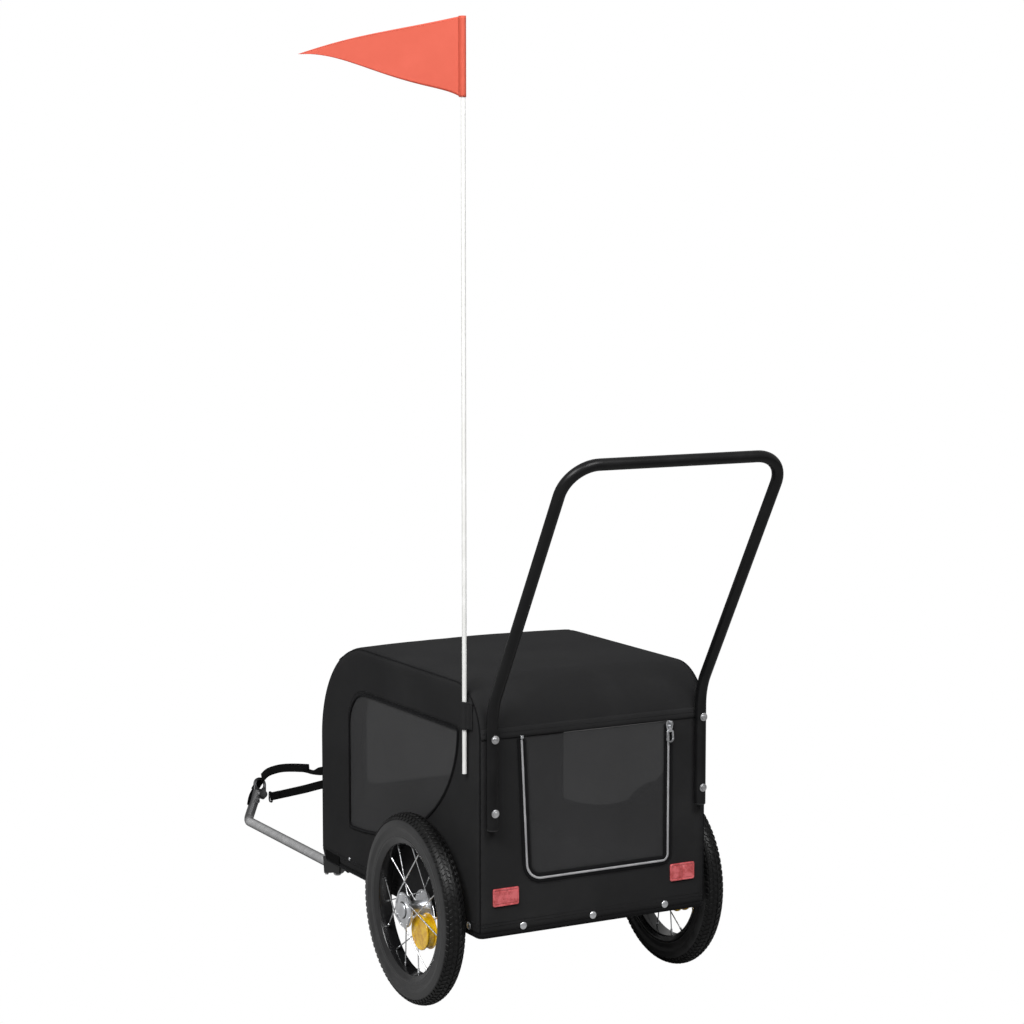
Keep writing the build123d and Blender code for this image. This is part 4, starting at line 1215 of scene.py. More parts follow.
# each row of knobs: its angle from the crown, half a knob's length and width, its skew, and its stagger
KNOB_ROWS = ((12, 3.4, 7.5, 1.2, 0.0), (32, 3.0, 8.0, -1.4, 0.5), (52, 3.6, 8.0, 0.8, 0.0))
knob_count = int(2 * math.pi * wheel_radius / (KNOB_PITCH * 2))
for side_name, side in SIDES:
    centre_x = side * half_track
    parts = [turned(tyre_section, centre_x, steps=160)]
    for k in range(knob_count):
        for lean, half_long, half_wide, skew, phase in KNOB_ROWS:
            lean, half_wide = math.radians(lean), math.radians(half_wide)
            for hand in (-1, 1):
                angle = 2 * math.pi * (k + phase + (0.5 if hand > 0 else 0)) / knob_count
                parts.append(knob(centre_x, angle, hand * lean, half_long, half_wide, hand * skew))
    tyre = piece(f"{side_name}_tyre_tread", *together(parts), rubber, f"{side_name}_wheel", smooth=False)
    for polygon in tyre.data.polygons[: len(parts[0][1])]:
        polygon.use_smooth = True
    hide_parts(f"{side_name}_tyre")


# ==== Rims ==================================================================================
# Pressed black rims, about as deep as they are wide, with a rolled lip on each edge and a shallow
# well between them under the tyre.

RIM_INNER = bead_radius - 11
# the lip's section, from the bead's edge and from its radius, down to the inner wall
RIM_LIP = (
    (-2.2, -3.4), (-1.8, -0.6), (-0.6, 0.9), (0.7, 0.8), (1.1, -0.4), (0.5, -2.4), (-0.6, -4.6), (-2.0, -8.0)
)
rim_lip = [(bead_half + across, bead_radius + out) for across, out in RIM_LIP]
rim_lip += [(bead_half - 3.0, RIM_INNER + 0.6), (bead_half - 4.4, RIM_INNER)]
rim_section = rim_lip + [(-across, out) for across, out in rim_lip[::-1]]
rim_well = bead_half - 4.6
rim_section += [(-rim_well, bead_radius - 7.0), (0, bead_radius - 7.6), (rim_well, bead_radius - 7.0)]
rim_black = plastic_material(
    "rim_black", (0.009, 0.009, 0.0095), (0.015, 0.015, 0.0155), roughness=0.22, specular=0.6, grain=0.00003
)


def smooth_by_angle(obj, degrees):
    """Smooth shading that keeps crisp edges where faces turn sharply."""
    bm = bmesh.new()
    bm.from_mesh(obj.data)
    bmesh.ops.recalc_face_normals(bm, faces=bm.faces)
    for edge in bm.edges:
        edge.smooth = len(edge.link_faces) == 2 and edge.calc_face_angle(0) < math.radians(degrees)
    for face in bm.faces:
        face.smooth = True
    bm.to_mesh(obj.data)
    bm.free()


for side_name, side in SIDES:
    shell = turned(rim_section, side * half_track, steps=180)
    rim = piece(f"{side_name}_rim_shell", *shell, rim_black, f"{side_name}_wheel")
    smooth_by_angle(rim, 50)
    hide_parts(f"{side_name}_rim")


# ==== Hubs, spokes and axles ================================================================
# Pressed zinc-plated hubs with large flanges carry bright laced spokes.  The axle runs in a bearing
# behind a black dust ring.

DUST_RING = 13.8
spoke_steel = metal_material("spoke_steel", (0.66, 0.67, 0.68), (0.86, 0.87, 0.88), roughness=0.2)
hub_zinc = metal_material("hub_zinc", (0.68, 0.69, 0.71), (0.93, 0.94, 0.96), roughness=0.3, marks_per_metre=70)


def repaint(material, *names):
    """Give CAD nodes that keep their own shape a finished material."""
    for name in names:
        for material_slot in nodes[name].material_slots:
            material_slot.material = material


repaint(spoke_steel, "left_spokes", "right_spokes")
repaint(hub_zinc, "left_hub", "right_hub", "left_axle", "right_axle")
hub_low, hub_high = level_box("left_hub")
hub_face = (hub_high.x - hub_low.x) / 2
seal_rubber = plastic_material("seal_rubber", (0.012, 0.012, 0.013), (0.025, 0.025, 0.026), roughness=0.5)
for side_name, side in SIDES:
    centre = np.array([side * (half_track + hub_face), 0.0, wheel_radius])
    profile = [(DUST_RING + a, b) for a, b in ((-2.6, -0.6), (-2.6, 0.3), (-1.6, 0.8), (-0.5, 0.5), (0, -0.6))]
    sealed = lathe(profile, centre, (side, 0, 0), sides=64)
    dust_ring = piece(f"{side_name}_dust_ring", *sealed, seal_rubber, f"{side_name}_wheel")
    smooth_by_angle(dust_ring, 50)


# ==== Wheel reflectors ======================================================================
# Each wheel carries a pair of amber prismatic discs back to back, clipped over crossed spokes: a
# smooth rim with a stepped edge round a field of cube-corner prisms.

DISC_EDGE = 1.6
DISC_FIELD = 0.86


def glassy_material(name, deep, bright, prisms_per_metre, strength):
    """Coloured acrylic with prisms behind its face: painted glints lighten some prism cells in the colour, the
    rest stays deep.
    """
    material, tree, place, marks = uneven_material(name, 60.0, 0.35, 0.68)
    prisms = {"Vector": place["Object"], "Scale": prisms_per_metre, "Randomness": 0.15}
    cells = add_node(tree, "TexVoronoi", prisms, feature="F1").outputs
    # painted glints: each prism cell gets its own brightness in the colour, mixed with slow uneven tone
    painted_glints = maths(tree, "MULTIPLY_ADD", cells["Color"], 0.55, marks["Slow"])
    finish_material(
        tree,
        Base_Color=mixed_colour(tree, painted_glints, deep, bright),
        Normal=bumped(tree, cells["Distance"], 0.0006, strength),
        Roughness=0.18,
        Coat_Weight=0.7,
        Coat_Roughness=0.04,
    )
    return material


amber_glass = glassy_material("amber_acrylic", (0.62, 0.29, 0.006), (0.92, 0.57, 0.012), 330, 0.5)
for side_name, side in SIDES:
    low, high = level_box(f"{side_name}_reflector")
    middle = np.array((low + high) / 2)
    radius = (high.y - low.y) / 2
    gap = (high.x - low.x) / 2 - 4.0
    field = radius * DISC_FIELD
    disc = [
        (radius * 0.35, 0), (radius - 3, 0), (radius - DISC_EDGE, 0.5), (radius, 1.4), (radius, 2.6),
        (radius - 0.7, 3.4), (field + 0.8, 3.7), (field, 3.0), (field * 0.5, 3.25), (0.01, 3.3),
    ]
    clip = [
        (radius - 4.5, -gap - 0.5), (radius - 2.2, 1 - gap), (radius - 2.8, 0),
        (radius - 2.2, gap - 1), (radius - 4.5, gap + 0.5),
    ]
    parts = [lathe(disc, middle + ACROSS * face * gap, ACROSS * face, sides=72) for face in (-1, 1)]
    parts.append(lathe(clip, middle, ACROSS, sides=72))
    reflector = piece(f"{side_name}_amber_discs", *together(parts), amber_glass, f"{side_name}_wheel")
    smooth_by_angle(reflector, 28)
    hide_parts(f"{side_name}_reflector")


# ==== Push handle ===========================================================================
# One bent steel tube, powder-coated satin black, closed at its lower ends by plastic plugs and held
# to the rear hoops by domed bolts.

TUBE = 18.0
PLUG = [(7.2, 4), (7.2, 0.05), (8.9, -0.05), (8.9, -1.2), (7.6, -2.6), (3, -3.2), (0.01, -3.3)]
BOLT_HEAD = [
    (6.4, -0.2), (6.4, 0.7), (6.0, 0.95), (4.9, 1.0), (4.8, 1.6),
    (4.2, 2.6), (2.9, 3.3), (1.4, 3.6), (0.01, 3.7),
]
handle_black = plastic_material(
    "handle_powder_coat", (0.005, 0.005, 0.0053), (0.0085, 0.0085, 0.0088), roughness=0.36, specular=0.18,
    grain=0.00006, marks_per_metre=18,
)
bolt_zinc = metal_material(
    "bolt_zinc", (0.45, 0.45, 0.46), (0.78, 0.78, 0.79), roughness=0.26, marks_per_metre=90
)
repaint(handle_black, "handle_bar")
handle_low, handle_high = level_box("handle_bar")
bolt_low, bolt_high = level_box("handle_bolts")
handle_leg_x = handle_high.x - TUBE / 2
leg_y = rear + 0.3 + TUBE / 2
plug_parts, head_parts = [], []
for side in (-1, 1):
    leg_x = side * handle_leg_x
    plug_parts.append(lathe(PLUG, np.array([leg_x, leg_y, handle_low.z]), UP, sides=32))
    for height in (bolt_low.z + 4.8, bolt_high.z - 4.8):
        head_parts.append(lathe(BOLT_HEAD, np.array([leg_x, leg_y + TUBE / 2 + 0.3, height]), BACK, sides=40))
plugs = piece("handle_plugs", *together(plug_parts), seal_rubber, "trailer")
smooth_by_angle(plugs, 40)
bolt_heads = piece("handle_bolt_heads", *together(head_parts), bolt_zinc, "trailer")
smooth_by_angle(bolt_heads, 35)
repaint(bolt_zinc, "handle_bolts")


# ==== Safety flag ===========================================================================
# A plain white fibreglass rod stands in a cloth sleeve sewn to the left rear corner.  Its pennant is
# thin orange nylon with a pocket for the rod and a row of stitches along both edges.

POCKET = 4.4
UPPER_BOW = 4.5
LOWER_BOW = 12.0
HOIST_CURL = 3.6
CURL_AT = 0.12
flag_low, flag_high = level_box("flag")
pole_low, pole_high = level_box("flag_pole")
pole_x, pole_y = (pole_low.x + pole_high.x) / 2, (pole_low.y + pole_high.y) / 2
pole_radius = (pole_high.x - pole_low.x) / 2
flag_points = level_points("flag")
flag_tip = flag_points[np.argmax(np.hypot(flag_points[:, 0] - pole_x, flag_points[:, 1] - pole_y))]
flag_run = np.array([flag_tip[0] - pole_x, flag_tip[1] - pole_y, 0.0])
flag_length = float(np.linalg.norm(flag_run))
flag_run /= flag_length
flag_across = np.array([-flag_run[1], flag_run[0], 0.0])
hoist_top, hoist_low = flag_high.z - 1.3, flag_low.z
hoist = hoist_top - hoist_low


def flag_edges(t):
    """Height of the upper and lower edge, at a share of the way from the rod to the tip."""
    tip = flag_tip[2]
    upper = hoist_top + (tip - hoist_top) * t + UPPER_BOW * math.sin(math.pi * t**1.6)
    lower = hoist_low + (tip - hoist_low) * t
    lower += HOIST_CURL * t / CURL_AT * math.exp(1 - t / CURL_AT) * (1 - t)
    lower += LOWER_BOW * math.sin(math.pi * t**1.9) * t
    return upper, lower


def flag_sway(t, height):
    """How far the cloth stands off its plane, hanging in soft folds from the rod."""
    slow = 3.2 * math.sin(3.0 * t + 0.6) * t * (1 - 0.3 * t)
    return slow + 1.4 * math.sin(7.5 * t + 2.4 * height) * t * (1 - t)


def by_rod(along, off, z):
    """A place near the flag: along it from the rod, off its plane, at a height."""
    return np.array([pole_x, pole_y, z]) + flag_run * along + flag_across * off


nylon, tree = new_material("orange_nylon")
place = add_node(tree, "UVMap", uv_map="cloth").outputs[0]
weave = effect(tree, plain_weave, place, Threads_per_metre=2600.0)
marks = effect(tree, unevenness, place, Marks_per_metre=14.0, From=0.35, To=0.7)
finish_material(
    tree,
    Base_Color=mixed_colour(tree, marks["Slow"], (0.515, 0.082, 0.0475), (0.54, 0.09, 0.054)),
    Normal=bumped(tree, weave["Height"], 0.00012, 0.6),
    Roughness=0.62,
    Specular_IOR_Level=0.3,
)

FLAG_COLUMNS, FLAG_ROWS = 72, 26
POCKET_SIDES, POCKET_ROWS = 22, 30
ROLLED = 2.6
points, uv = [], []
start = pole_radius + 1.3
for t in (i / FLAG_COLUMNS for i in range(FLAG_COLUMNS + 1)):
    upper, lower = flag_edges(t)
    along = start + (flag_length - start - 0.5) * t
    for v in (j / FLAG_ROWS for j in range(FLAG_ROWS + 1)):
        z = lower + (upper - lower) * v
        points.append(by_rod(along, flag_sway(t, v), z))
        uv.append((along, z - hoist_low))
n = FLAG_ROWS + 1
neighbours = [(i * n, (i + 1) * n) for i in range(FLAG_COLUMNS)]
faces = [(a + j, b + j, b + j + 1, a + j + 1) for a, b in neighbours for j in range(FLAG_ROWS)]
pennant = piece("pennant", points, faces, nylon, "trailer", uv=uv)
thicken(pennant, 0.5, offset=0.0)
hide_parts("flag")

pocket_outline = [(POCKET + 2, 0.55)]
for turn in (math.pi * (0.14 + 1.72 * k / POCKET_SIDES) for k in range(POCKET_SIDES + 1)):
    pocket_outline.append((math.cos(turn) * (pole_radius + 0.9), math.sin(turn) * (pole_radius + 0.75)))
pocket_outline.append((POCKET + 2, -0.55))


def upright_cloth(outline, low, height, rows):
    """Cloth that stands upright along an outline: its points, and where they lie on the flat cloth."""
    points, uv = [], []
    for z in (low + height * i / rows for i in range(rows + 1)):
        points += [(x, y, z) for x, y in outline]
        uv += [(k * 1.2, z) for k in range(len(outline))]
    return points, uv


upright, uv = upright_cloth(pocket_outline, hoist_low - 0.4, hoist + 1.0, POCKET_ROWS)
points = [by_rod(a, b, z) for a, b, z in upright]
uv = [(u + 1.2, v - hoist_low) for u, v in uv]
faces = strips(len(pocket_outline), POCKET_ROWS + 1)
pocket = piece("pennant_pocket", points, faces, nylon, "trailer", uv=uv)
thicken(pocket, 0.5, offset=0.0)

thread_orange = plastic_material("thread_orange", (0.55, 0.06, 0.03), (0.68, 0.09, 0.05), roughness=0.6)
hem_parts = []
for hand in (1, -1):
    for edge, inwards, v in ((0, -ROLLED, 1.0), (1, ROLLED, 0.0)):
        line = []
        for t in (i / 60 for i in range(61)):
            z = flag_edges(t)[edge] + inwards * (1 - t)
            line.append(by_rod(start + (flag_length - start - 4) * t, flag_sway(t, v) + hand * 0.3, z))
        hem_parts.append(stitch_row(line, [flag_across * hand] * len(line), length=2.2, gap=0.9, width=0.5))
    line = [by_rod(POCKET + 0.4, hand * 0.85, z) for z in np.linspace(hoist_low + 1, hoist_top - 1, 40)]
    hem_parts.append(stitch_row(line, [flag_across * hand] * len(line), length=2.2, gap=0.9, width=0.5))
flag_stitches = piece("pennant_stitches", *together(hem_parts), thread_orange, "trailer")
edges = [flag_edges(i / FLAG_COLUMNS) for i in range(FLAG_COLUMNS + 1)]

rod_white = plastic_material("rod_white", (0.72, 0.72, 0.70), (0.80, 0.80, 0.79), roughness=0.38, grain=0.00005)
repaint(rod_white, "flag_pole")

sleeve_low, sleeve_high = level_box("pole_sleeve")
back = half_body + 0.4
SLEEVE_ROWS, SLEEVE_SIDES = 16, 24
sleeve_outline = [(back, pole_y - 15), (back + 1.3, pole_y - 14.6), (back + 1.5, pole_y - 7.5)]
around = pole_radius + 1.6
for turn in (-math.pi / 2 + math.pi * k / SLEEVE_SIDES for k in range(SLEEVE_SIDES + 1)):
    sleeve_outline.append((pole_x + around * math.cos(turn), pole_y + around * math.sin(turn)))
sleeve_outline += [(back + 1.5, pole_y + 7.5), (back + 1.3, pole_y + 14.6), (back, pole_y + 15)]
points, uv = upright_cloth(sleeve_outline, sleeve_low.z, sleeve_high.z - sleeve_low.z, SLEEVE_ROWS)
faces = strips(len(sleeve_outline), SLEEVE_ROWS + 1)
sleeve = piece("rod_sleeve", points, faces, black_cloth, "trailer", uv=uv)
thicken(sleeve, 1.1, offset=0.0)
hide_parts("pole_sleeve")
sleeve_parts = []
for y in (pole_y - 12.6, pole_y + 12.6, pole_y - 10.4, pole_y + 10.4):
    line = [(back + 1.9, y, z) for z in np.linspace(sleeve_low.z + 1.5, sleeve_high.z - 1.5, 14)]
    sleeve_parts.append(stitch_row(line, [ACROSS] * len(line), length=2.6, gap=1.0, width=0.6))
sleeve_stitches = piece("rod_sleeve_stitches", *together(sleeve_parts), thread_black, "trailer")


# ==== Drawbar and hitch =====================================================================
# One bent steel tube, painted light grey, ends in a flattened eye plate that is welded across it.  A
# bolt below the eye holds a short leather tab, and a black channel bracket carries the tube's tail.

EYE_RADIUS = 12.5
EYE_HOLE = 8.5
eye_grey = metal_material(
    "eye_plate_steel", (0.06, 0.06, 0.062), (0.13, 0.13, 0.133), roughness=0.42, marks_per_metre=120
)
bracket_black = plastic_material(
    "bracket_black", (0.0045, 0.0045, 0.005), (0.009, 0.009, 0.0095), roughness=0.42, specular=0.3,
    grain=0.00008,
)
eye_points = level_points("hitch_eye")
hitch_bolt_low, hitch_bolt_high = level_box("hitch_bolt")
hitch_bolt_at = np.array((hitch_bolt_low + hitch_bolt_high) / 2)
eye_normal = np.linalg.svd(eye_points - eye_points.mean(axis=0))[2][2]
eye_normal *= -np.sign(eye_normal[1])
reach = np.linalg.norm(eye_points - hitch_bolt_at, axis=1)
eye_tip = eye_points[reach > reach.max() - 0.4].mean(axis=0)
riser = eye_tip - hitch_bolt_at
riser -= eye_normal * (riser @ eye_normal)
riser /= np.linalg.norm(riser)
hitch_at = hitch_bolt_at + riser * ((eye_tip - hitch_bolt_at) @ riser - EYE_RADIUS)
eye_right = np.cross(riser, eye_normal)

# painted tube, with painted shade in its colour: darker towards its edges, where they turn from the camera, and
# darker still over the short riser
RISER_STARTS, RISER_ENDS = 0.052, 0.036
drawbar_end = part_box("drawbar")[0][1]
drawbar_grey, tree, place, marks = uneven_material("drawbar_grey", 60.0, 0.35, 0.7)
along_bar = add_node(tree, "SeparateXYZ", {0: place["Object"]}).outputs["Y"]
on_riser = smooth_mask(tree, along_bar, drawbar_end + RISER_STARTS, drawbar_end + RISER_ENDS)
# painted shade: the colour darkens towards the tube's edges, by how squarely each face looks at the camera
grazing = add_node(tree, "LayerWeight", {"Blend": 0.35}).outputs["Facing"]
paint = mixed_colour(tree, marks["Slow"], (0.36, 0.36, 0.365), (0.46, 0.46, 0.465))
# painted shade: the riser is darkened in its colour for the shade it lies in, not for wear
riser_painted_shade = mixed_colour(tree, on_riser, paint, (0.05, 0.05, 0.0515))
finish_material(
    tree,
    Base_Color=mixed_colour(tree, smooth_mask(tree, grazing, 0.42, 0.8), riser_painted_shade, (0.03, 0.03, 0.03)),
    Normal=bumped(tree, marks["Fine"], 0.00004, 0.5),
    Roughness=0.36,
    Specular_IOR_Level=0.5,
)
repaint(drawbar_grey, "drawbar")

# the tongue leans against the riser, so that the eye stands upright when the bar points forwards
TONGUE_LEAN = math.radians(20)
tongue_up = riser * math.cos(TONGUE_LEAN) + eye_right * math.sin(TONGUE_LEAN)
tongue_right = eye_right * math.cos(TONGUE_LEAN) - riser * math.sin(TONGUE_LEAN)
PLATE = [
    (13.2, 0, 0), (13.2, 13.2, 13), (-13.2, 13.2, 13), (-13.2, 0, 0), (-13.2, -22, 3),
    (-9, -27.5, 2), (11, -24, 3), (11, -16, 4), (13.2, -13, 4),
]
plate_outline = rounded_path(PLATE, closed=True, turn_step=8)
hole_outline = circle(EYE_HOLE, 40)


def pierced_plate(outline, hole, half_thickness, bevel, centre, right, up, out):
    """A plate with a hole through it and every edge eased."""
    points, faces = [], []
    edge = evenly(outline, 1.6, closed=True)
    flat, triangles = cut_cloth(edge, [hole], 4.0)
    loops = [(loop, unit_rows(loop - loop.mean(axis=0)) * hand) for loop, hand in ((edge, -1), (hole, 1))]
    for face in (1, -1):
        moved = flat.copy()
        for loop, way in loops:
            for place, direction in zip(loop, way):
                near = np.argmin(np.linalg.norm(flat - place, axis=1))
                moved[near] = place + direction * bevel
        base = len(points)
        points += [centre + right * a + up * b + out * face * half_thickness for a, b in moved]
        faces += [tuple(base + i for i in (t if face > 0 else t[::-1])) for t in triangles]
    for loop, way in loops:
        base = len(points)
        heights = (half_thickness, half_thickness - bevel, bevel - half_thickness, -half_thickness)
        for height, ease in zip(heights, (bevel, 0, 0, bevel)):
            points += [centre + right * a + up * b + out * height for a, b in loop + way * ease]
        faces += bands(len(loop), 4, first=base)
    return points, faces


def on_tongue(a, b, off):
    """A place on the tongue, across and up from its hole, standing off its middle."""
    return hitch_at + tongue_right * a + tongue_up * b + off


parts = [pierced_plate(plate_outline, hole_outline, 2.2, 0.6, hitch_at, tongue_right, tongue_up, eye_normal)]
for face in (-1, 1):
    rim = [on_tongue(a * 1.2, b * 1.2, eye_normal * face * 2.1) for a, b in hole_outline]
    parts.append(sweep(rim, ring(1.2, 8), closed=True))
# the tube's end is flattened over the tongue and welded along its edge
SADDLE = [(9.6, -15.5, 3), (9.6, -23, 3), (-8, -26, 3), (-12, -20, 4), (-10.5, -13.5, 4), (0, -12.5, 6)]
saddle = rounded_path(SADDLE, closed=True, turn_step=12)
parts.append(solid_plate(saddle, 1.5, 11.0, hitch_at, tongue_right, tongue_up, -eye_normal, bevel=2.2))
weld = evenly(np.array([on_tongue(a, b, -eye_normal * 2.6) for a, b in saddle[2:-1]]), 0.8)
beads = [1.3 + 0.3 * math.sin(k * 2.1) for k in range(len(weld))]
parts.append(sweep(weld, lambda t: ring(beads[min(len(beads) - 1, int(t * len(beads)))], 8)))
eye_plate = piece("hitch_eye_plate", *together(parts), eye_grey, "trailer", smooth=False)
smooth_by_angle(eye_plate, 40)
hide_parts("hitch_eye")
WASHER = [(5.0, -0.2), (5.0, 0.35), (4.6, 0.6), (0.01, 0.6)]
HALF_BOLT = 8.9
parts = []
for face in (-1, 1):
    out = eye_normal * face
    at = hitch_bolt_at + out * HALF_BOLT
    parts.append(lathe(WASHER, at, out, sides=32))
    parts.append(solid_plate(circle(5.0, 6)[::face], 0.6, 2.9, at, eye_right, riser, out, bevel=0.5))
hitch_nuts = piece("hitch_bolt_head", *together(parts), bolt_zinc, "trailer", smooth=False)
smooth_by_angle(hitch_nuts, 25)
repaint(bolt_zinc, "hitch_bolt")

bracket_low, bracket_high = level_box("drawbar_bracket")
bracket_x = (bracket_low.x + bracket_high.x) / 2
bracket_half = (bracket_high.x - bracket_low.x) / 2
WALL = 3.0
BRACKET_LENGTH = 68
bracket_nose = front - 9
bracket_tail = bracket_nose + BRACKET_LENGTH
# places along the lower edge of the channel's sides: from its nose, above its lowest line, and rounding
LOWER_EDGE = ((4, 0.5, 2.0), (30, 6.5, 8), (47, 11, 6), (56, 9.5, 5), (66, 14, 5))
side_outline = rounded_path(
    [
        (bracket_nose, bracket_high.z, 0.8),
        *((bracket_nose + along, bracket_low.z + height, radius) for along, height, radius in LOWER_EDGE),
        (bracket_tail, bracket_high.z, 0.8),
    ],
    closed=True,
    turn_step=10,
)
parts = []
for side in (-1, 1):
    face_at = ACROSS * (bracket_x + side * bracket_half)
    parts.append(solid_plate(side_outline[::-side], -WALL, 0.0, face_at, BACK, UP, ACROSS * side))
top_middle = (bracket_x, (bracket_nose + bracket_tail) / 2)
top_outline = rounded_rectangle(2 * bracket_half - 1.5, bracket_tail - bracket_nose, 1.0, at=top_middle)
parts.append(solid_plate(top_outline, -WALL, 0.0, UP * bracket_high.z, ACROSS, BACK, UP))
bracket = piece("drawbar_channel", *together(parts), bracket_black, "trailer", smooth=False)
smooth_by_angle(bracket, 30)
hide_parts("drawbar_bracket")

pins = level_points("bracket_pins")
pins_low = pins.min(axis=0)
lock_pin_y, pivot_y = pins[pins[:, 1] < front][:, 1], pins[pins[:, 1] > front][:, 1]
tube_top = bracket_high.z - WALL - 3
LOCK_PIN = [
    (3.0, -30), (3.0, 0), (5.0, 0.2), (5.3, 1.2), (4.6, 3.0), (4.3, 12),
    (5.4, 15), (5.4, 17.5), (4.6, 19), (0.01, 19.2),
]
PIVOT_BOLT = [(4.0, -24), (4.0, -1), (6.6, -0.8), (7.0, 0.2), (6.6, 2.2), (4.6, 4.0), (0.01, 4.6)]
lock_pin_at = np.array([bracket_x, (lock_pin_y.min() + lock_pin_y.max()) / 2, tube_top])
pivot_at = np.array([bracket_x, (pivot_y.min() + pivot_y.max()) / 2, pins_low[2] + 4.7])
parts = [lathe(LOCK_PIN, lock_pin_at, UP, sides=36), lathe(PIVOT_BOLT, pivot_at, -UP, sides=36)]
pin_pieces = piece("bracket_bolt_and_pin", *together(parts), bolt_zinc, "trailer")
smooth_by_angle(pin_pieces, 35)
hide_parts("bracket_pins")


# ==== Straps ================================================================================
# Black webbing safety straps.  The upper one starts behind the eye, is doubled and sewn, and twists
# before it goes in under the cloth; the lower one hangs down with a welded wire ring sewn in its end.

STRAP = 15.0
STRAP_THICK = 2.2
LAID_ON = STRAP_THICK + 0.2


def webbing_material(name, dark, light):
    """Ribbed webbing: cords run along it and show as fine ridges across its width, with painted shade in the
    grooves between them.
    """
    material, tree, place, marks = uneven_material(name, 30.0, 0.3, 0.7)
    cords = add_node(tree, "SeparateXYZ", {0: place["UV"]}).outputs
    across, along = (
        maths(tree, "MULTIPLY", ridges(tree, cords[axis], per_metre * math.pi), strength)
        for axis, per_metre, strength in (("Y", 640.0, 0.6), ("X", 420.0, 0.4))
    )
    height = maths(tree, "ADD", across, along)
    # painted shade: the colour darkens with the ridges' height into the grooves, mixed with slow uneven tone
    tone = maths(tree, "MULTIPLY_ADD", height, 0.5, maths(tree, "MULTIPLY", marks["Slow"], 0.5))
    finish_material(
        tree,
        Base_Color=mixed_colour(tree, tone, dark, light),
        Normal=bumped(tree, height, 0.0003, 0.8),
        Roughness=0.75,
        Specular_IOR_Level=0.06,
    )
    return material


black_webbing = webbing_material("black_webbing", (0.0008, 0.0008, 0.0009), (0.0034, 0.0034, 0.0036))


def strap_piece(name, path, outs, width=STRAP, thickness=STRAP_THICK, spacing=1.5):
    """A flat strap along a path; outs, one for each point, say which way its face looks."""
    both = evenly(np.hstack([path, outs]), spacing)
    path, outs = both[:, :3], both[:, 3:]
    section = flat_section(width, thickness)
    uv = [(run, side) for run in run_along(path) for side, _ in section]
    strap = piece(name, *sweep(path, section, normal=outs), black_webbing, "trailer", uv=uv)
    smooth_by_angle(strap, 50)


def curve_through(places):
    """A smooth line through given places."""
    places = np.asarray(places, float)
    padded = np.vstack([2 * places[0] - places[1], places, 2 * places[-1] - places[-2]])
    line = []
    for k in range(1, len(padded) - 2):
        a, b, c, d = padded[k - 1 : k + 3]
        count = max(2, int(np.linalg.norm(c - b) / 2.0))
        bend, twist = 2 * a - 5 * b + 4 * c - d, 3 * b - a - 3 * c + d
        line += [0.5 * (2 * b + (c - a) * t + bend * t**2 + twist * t**3) for t in np.arange(count) / count]
    line.append(places[-1])
    return np.array(line)


def from_hitch(across, back, up_by):
    """A place given from the eye: across to the left, back towards the cabin, and up."""
    return hitch_at + np.array([across, back, up_by])


def behind_eye(across, up_by, off=5.0):
    """A place behind the eye plate, across and up on it."""
    return hitch_at + eye_right * across + riser * up_by + eye_normal * off


side_on = ACROSS
tail_low, tail_high = level_box("strap_tail")
upper_route = curve_through([
    behind_eye(4.5, -14), behind_eye(1.5, 0), behind_eye(-2.8, 14.5), from_hitch(-3, 14, 18),
    from_hitch(0, 39, 30), from_hitch(0, 68, 40.5), from_hitch(0, 109, 52), from_hitch(0, 163, 63),
    from_hitch(0, 224, 73.5),
])
facing_eye = eye_normal if eye_normal @ side_on > 0 else -eye_normal
turned_over = [min(1.0, max(0.0, (z - hitch_at[2] - 6) / 22)) for z in upper_route[:, 2]]
strap_piece("upper_strap", upper_route, [facing_eye * (1 - t) + side_on * t for t in turned_over])


def turned_face(turn):
    """A strap's face after turning it about its length, from facing sideways towards facing up."""
    return np.array([math.cos(turn), 0.25 * math.sin(turn), math.sin(turn)])


tail_of_loop = upper_route[len(upper_route) // 6 :]
strap_piece("upper_strap_doubled", tail_of_loop + side_on * LAID_ON, [side_on] * len(tail_of_loop))
parts = []
for edge in (-5.2, 0.0, 5.2):
    row = curve_through(tail_of_loop[-34:]) + np.array([STRAP_THICK * 1.5 + 0.3, 0, edge])
    parts.append(stitch_row(row, [side_on] * len(row), length=2.6, gap=1.2, width=0.7))
points, faces = together(parts)
piece("upper_strap_stitches", points, faces, thread_black, "trailer")

strap_root = front + 6
twist_route = curve_through([
    from_hitch(0, 205, 66.5), from_hitch(0, 226, 68), from_hitch(0, 240, 70.5), from_hitch(0, 268, 76.5),
    from_hitch(0, 300, 82), from_hitch(0, 345, 82), (hitch_at[0], strap_root, hitch_at[2] + 74),
])
TWIST = math.radians(84)
start_of_twist, end_of_twist = hitch_at[1] + 232, hitch_at[1] + 282
twisted = np.clip((twist_route[:, 1] - start_of_twist) / (end_of_twist - start_of_twist), 0.0, 1.0)
faces_of = [turned_face(TWIST * (1 - share)) for share in twisted]
strap_piece("upper_strap_root", twist_route, faces_of)

tail_x = (tail_low.x + tail_high.x) / 2
ring_low, ring_high = level_box("strap_ring")
ring_middle = np.array((ring_low + ring_high) / 2)
from_tail = tail_x - hitch_at[0]
lower_route = curve_through([
    (tail_x, ring_middle[1] + 3, ring_middle[2] + 1.5), from_hitch(from_tail, 119, 7.5),
    from_hitch(from_tail, 186, 27), from_hitch(from_tail, 248, 46), from_hitch(from_tail, 330, 70),
    (tail_x, strap_root, hitch_at[2] + 90),
])
strap_piece("lower_strap", lower_route, [side_on] * len(lower_route))
fold = lower_route[1:22]
strap_piece("lower_strap_fold", fold + side_on * LAID_ON, [side_on] * len(fold))

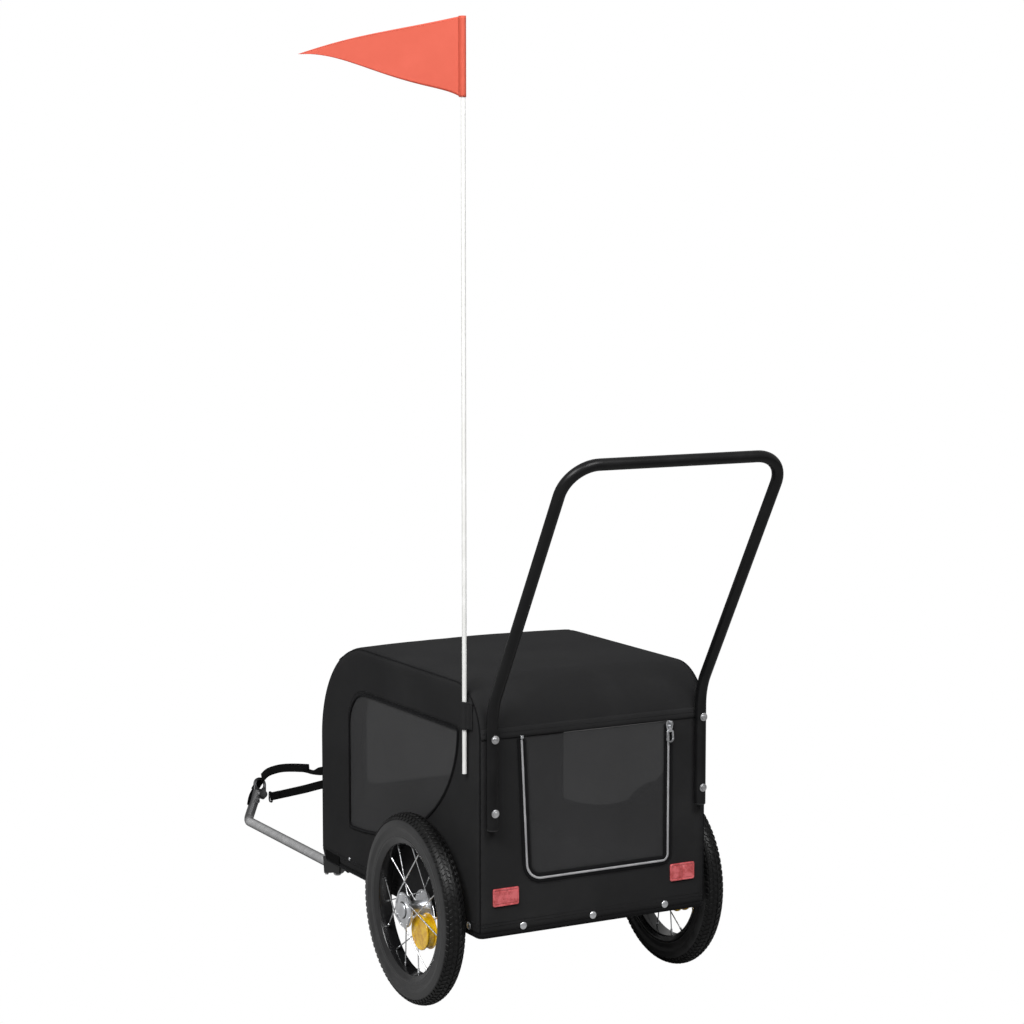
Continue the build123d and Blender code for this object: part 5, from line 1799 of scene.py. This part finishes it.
wire_size = (ring_high.y - ring_low.y - 3, ring_high.z - ring_low.z - 3)
wire = evenly(rounded_rectangle(*wire_size, 4.0, at=ring_middle[1:]), 0.8, closed=True)
bent = sweep([(ring_middle[0], y, z) for y, z in wire], ring(1.5, 12), closed=True)
wire_ring = piece("strap_wire_ring", *bent, eye_grey, "trailer")
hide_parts("strap_ring")
for obj, node in (("upper_strap", "safety_strap"), ("lower_strap", "strap_tail")):
    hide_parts(node)

tab_route = curve_through(
    [behind_eye(5, -9), behind_eye(8.0, -19, 4), behind_eye(10.5, -32, 1), behind_eye(9.0, -47, 0)]
)
tab_faces = [eye_normal] * len(tab_route)
strap_piece("hitch_leather_tab", tab_route, tab_faces, width=7.0, thickness=2.4, spacing=1.2)
# painted shade: a black webbing strip on each side above the front hem corner, laid over the dark band where
# the cloth lies in shade by the drawbar bracket
for side_name, side in SIDES:
    patch_x, patch_z = side * (half_body + 1.0), bottom + 10
    route = curve_through([(patch_x, front + y, patch_z + rise) for y, rise in ((22, 1), (48, 0), (76, 0))])
    strap_piece(f"{side_name}_shade_strip", route, [side_on * side] * len(route), width=16, thickness=1.2)


# ==== Tail reflectors =======================================================================
# Two red prismatic plates sit on the lower rear panel: a raised rim round a field of prisms that a
# bar divides in two.

red_glass = glassy_material("red_acrylic", (0.36, 0.035, 0.035), (0.62, 0.12, 0.13), 420, 0.4)
for side_name, _ in SIDES:
    low, high = level_box(f"{side_name}_tail_reflector")
    wide, tall = high.x - low.x, high.z - low.z
    middle = (low + high) / 2
    base = np.array([middle.x, low.y, middle.z])
    rim = evenly(rounded_rectangle(wide - 3.0, tall - 3.0, 2.0), 0.9, closed=True)
    rim = [base + ACROSS * a + UP * b + BACK * 2.4 for a, b in rim]
    parts = [
        solid_plate(rounded_rectangle(wide, tall, 2.6)[::-1], 0.0, 2.4, base, ACROSS, UP, BACK, bevel=0.5),
        sweep(rim, flat_section(2.2, 1.3), closed=True, normal=BACK),
    ]
    field = rounded_rectangle(wide * 0.40, tall - 9.0, 1.2)[::-1]
    for hand in (-1, 1):
        centre = base + ACROSS * hand * wide * 0.235
        parts.append(solid_plate(field, 2.2, 3.0, centre, ACROSS, UP, BACK, bevel=0.35))
    tail_light = piece(f"{side_name}_red_plate", *together(parts), red_glass, "trailer", smooth=False)
    smooth_by_angle(tail_light, 30)
    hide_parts(f"{side_name}_tail_reflector")


# ==== Frame inside ==========================================================================
# Black powder-coated steel tube: a floor ring with the axle tube and a cross tube, two hoops and two
# roof tubes, with a covered floor board laid over it.

frame_black = plastic_material(
    "frame_powder_coat", (0.016, 0.016, 0.017), (0.026, 0.026, 0.027), roughness=0.5, specular=0.4,
    grain=0.00006, marks_per_metre=20,
)
repaint(frame_black, "floor_frame", "axle_tube", "floor_cross_tube")
repaint(frame_black, "left_hoop", "right_hoop", "front_roof_tube", "rear_roof_tube")
board_cover = cloth_material(
    "floor_board_cover", (0.012, 0.012, 0.013), (0.024, 0.024, 0.025), threads=900, sheen=0.15
)
repaint(board_cover, "floor_panel")
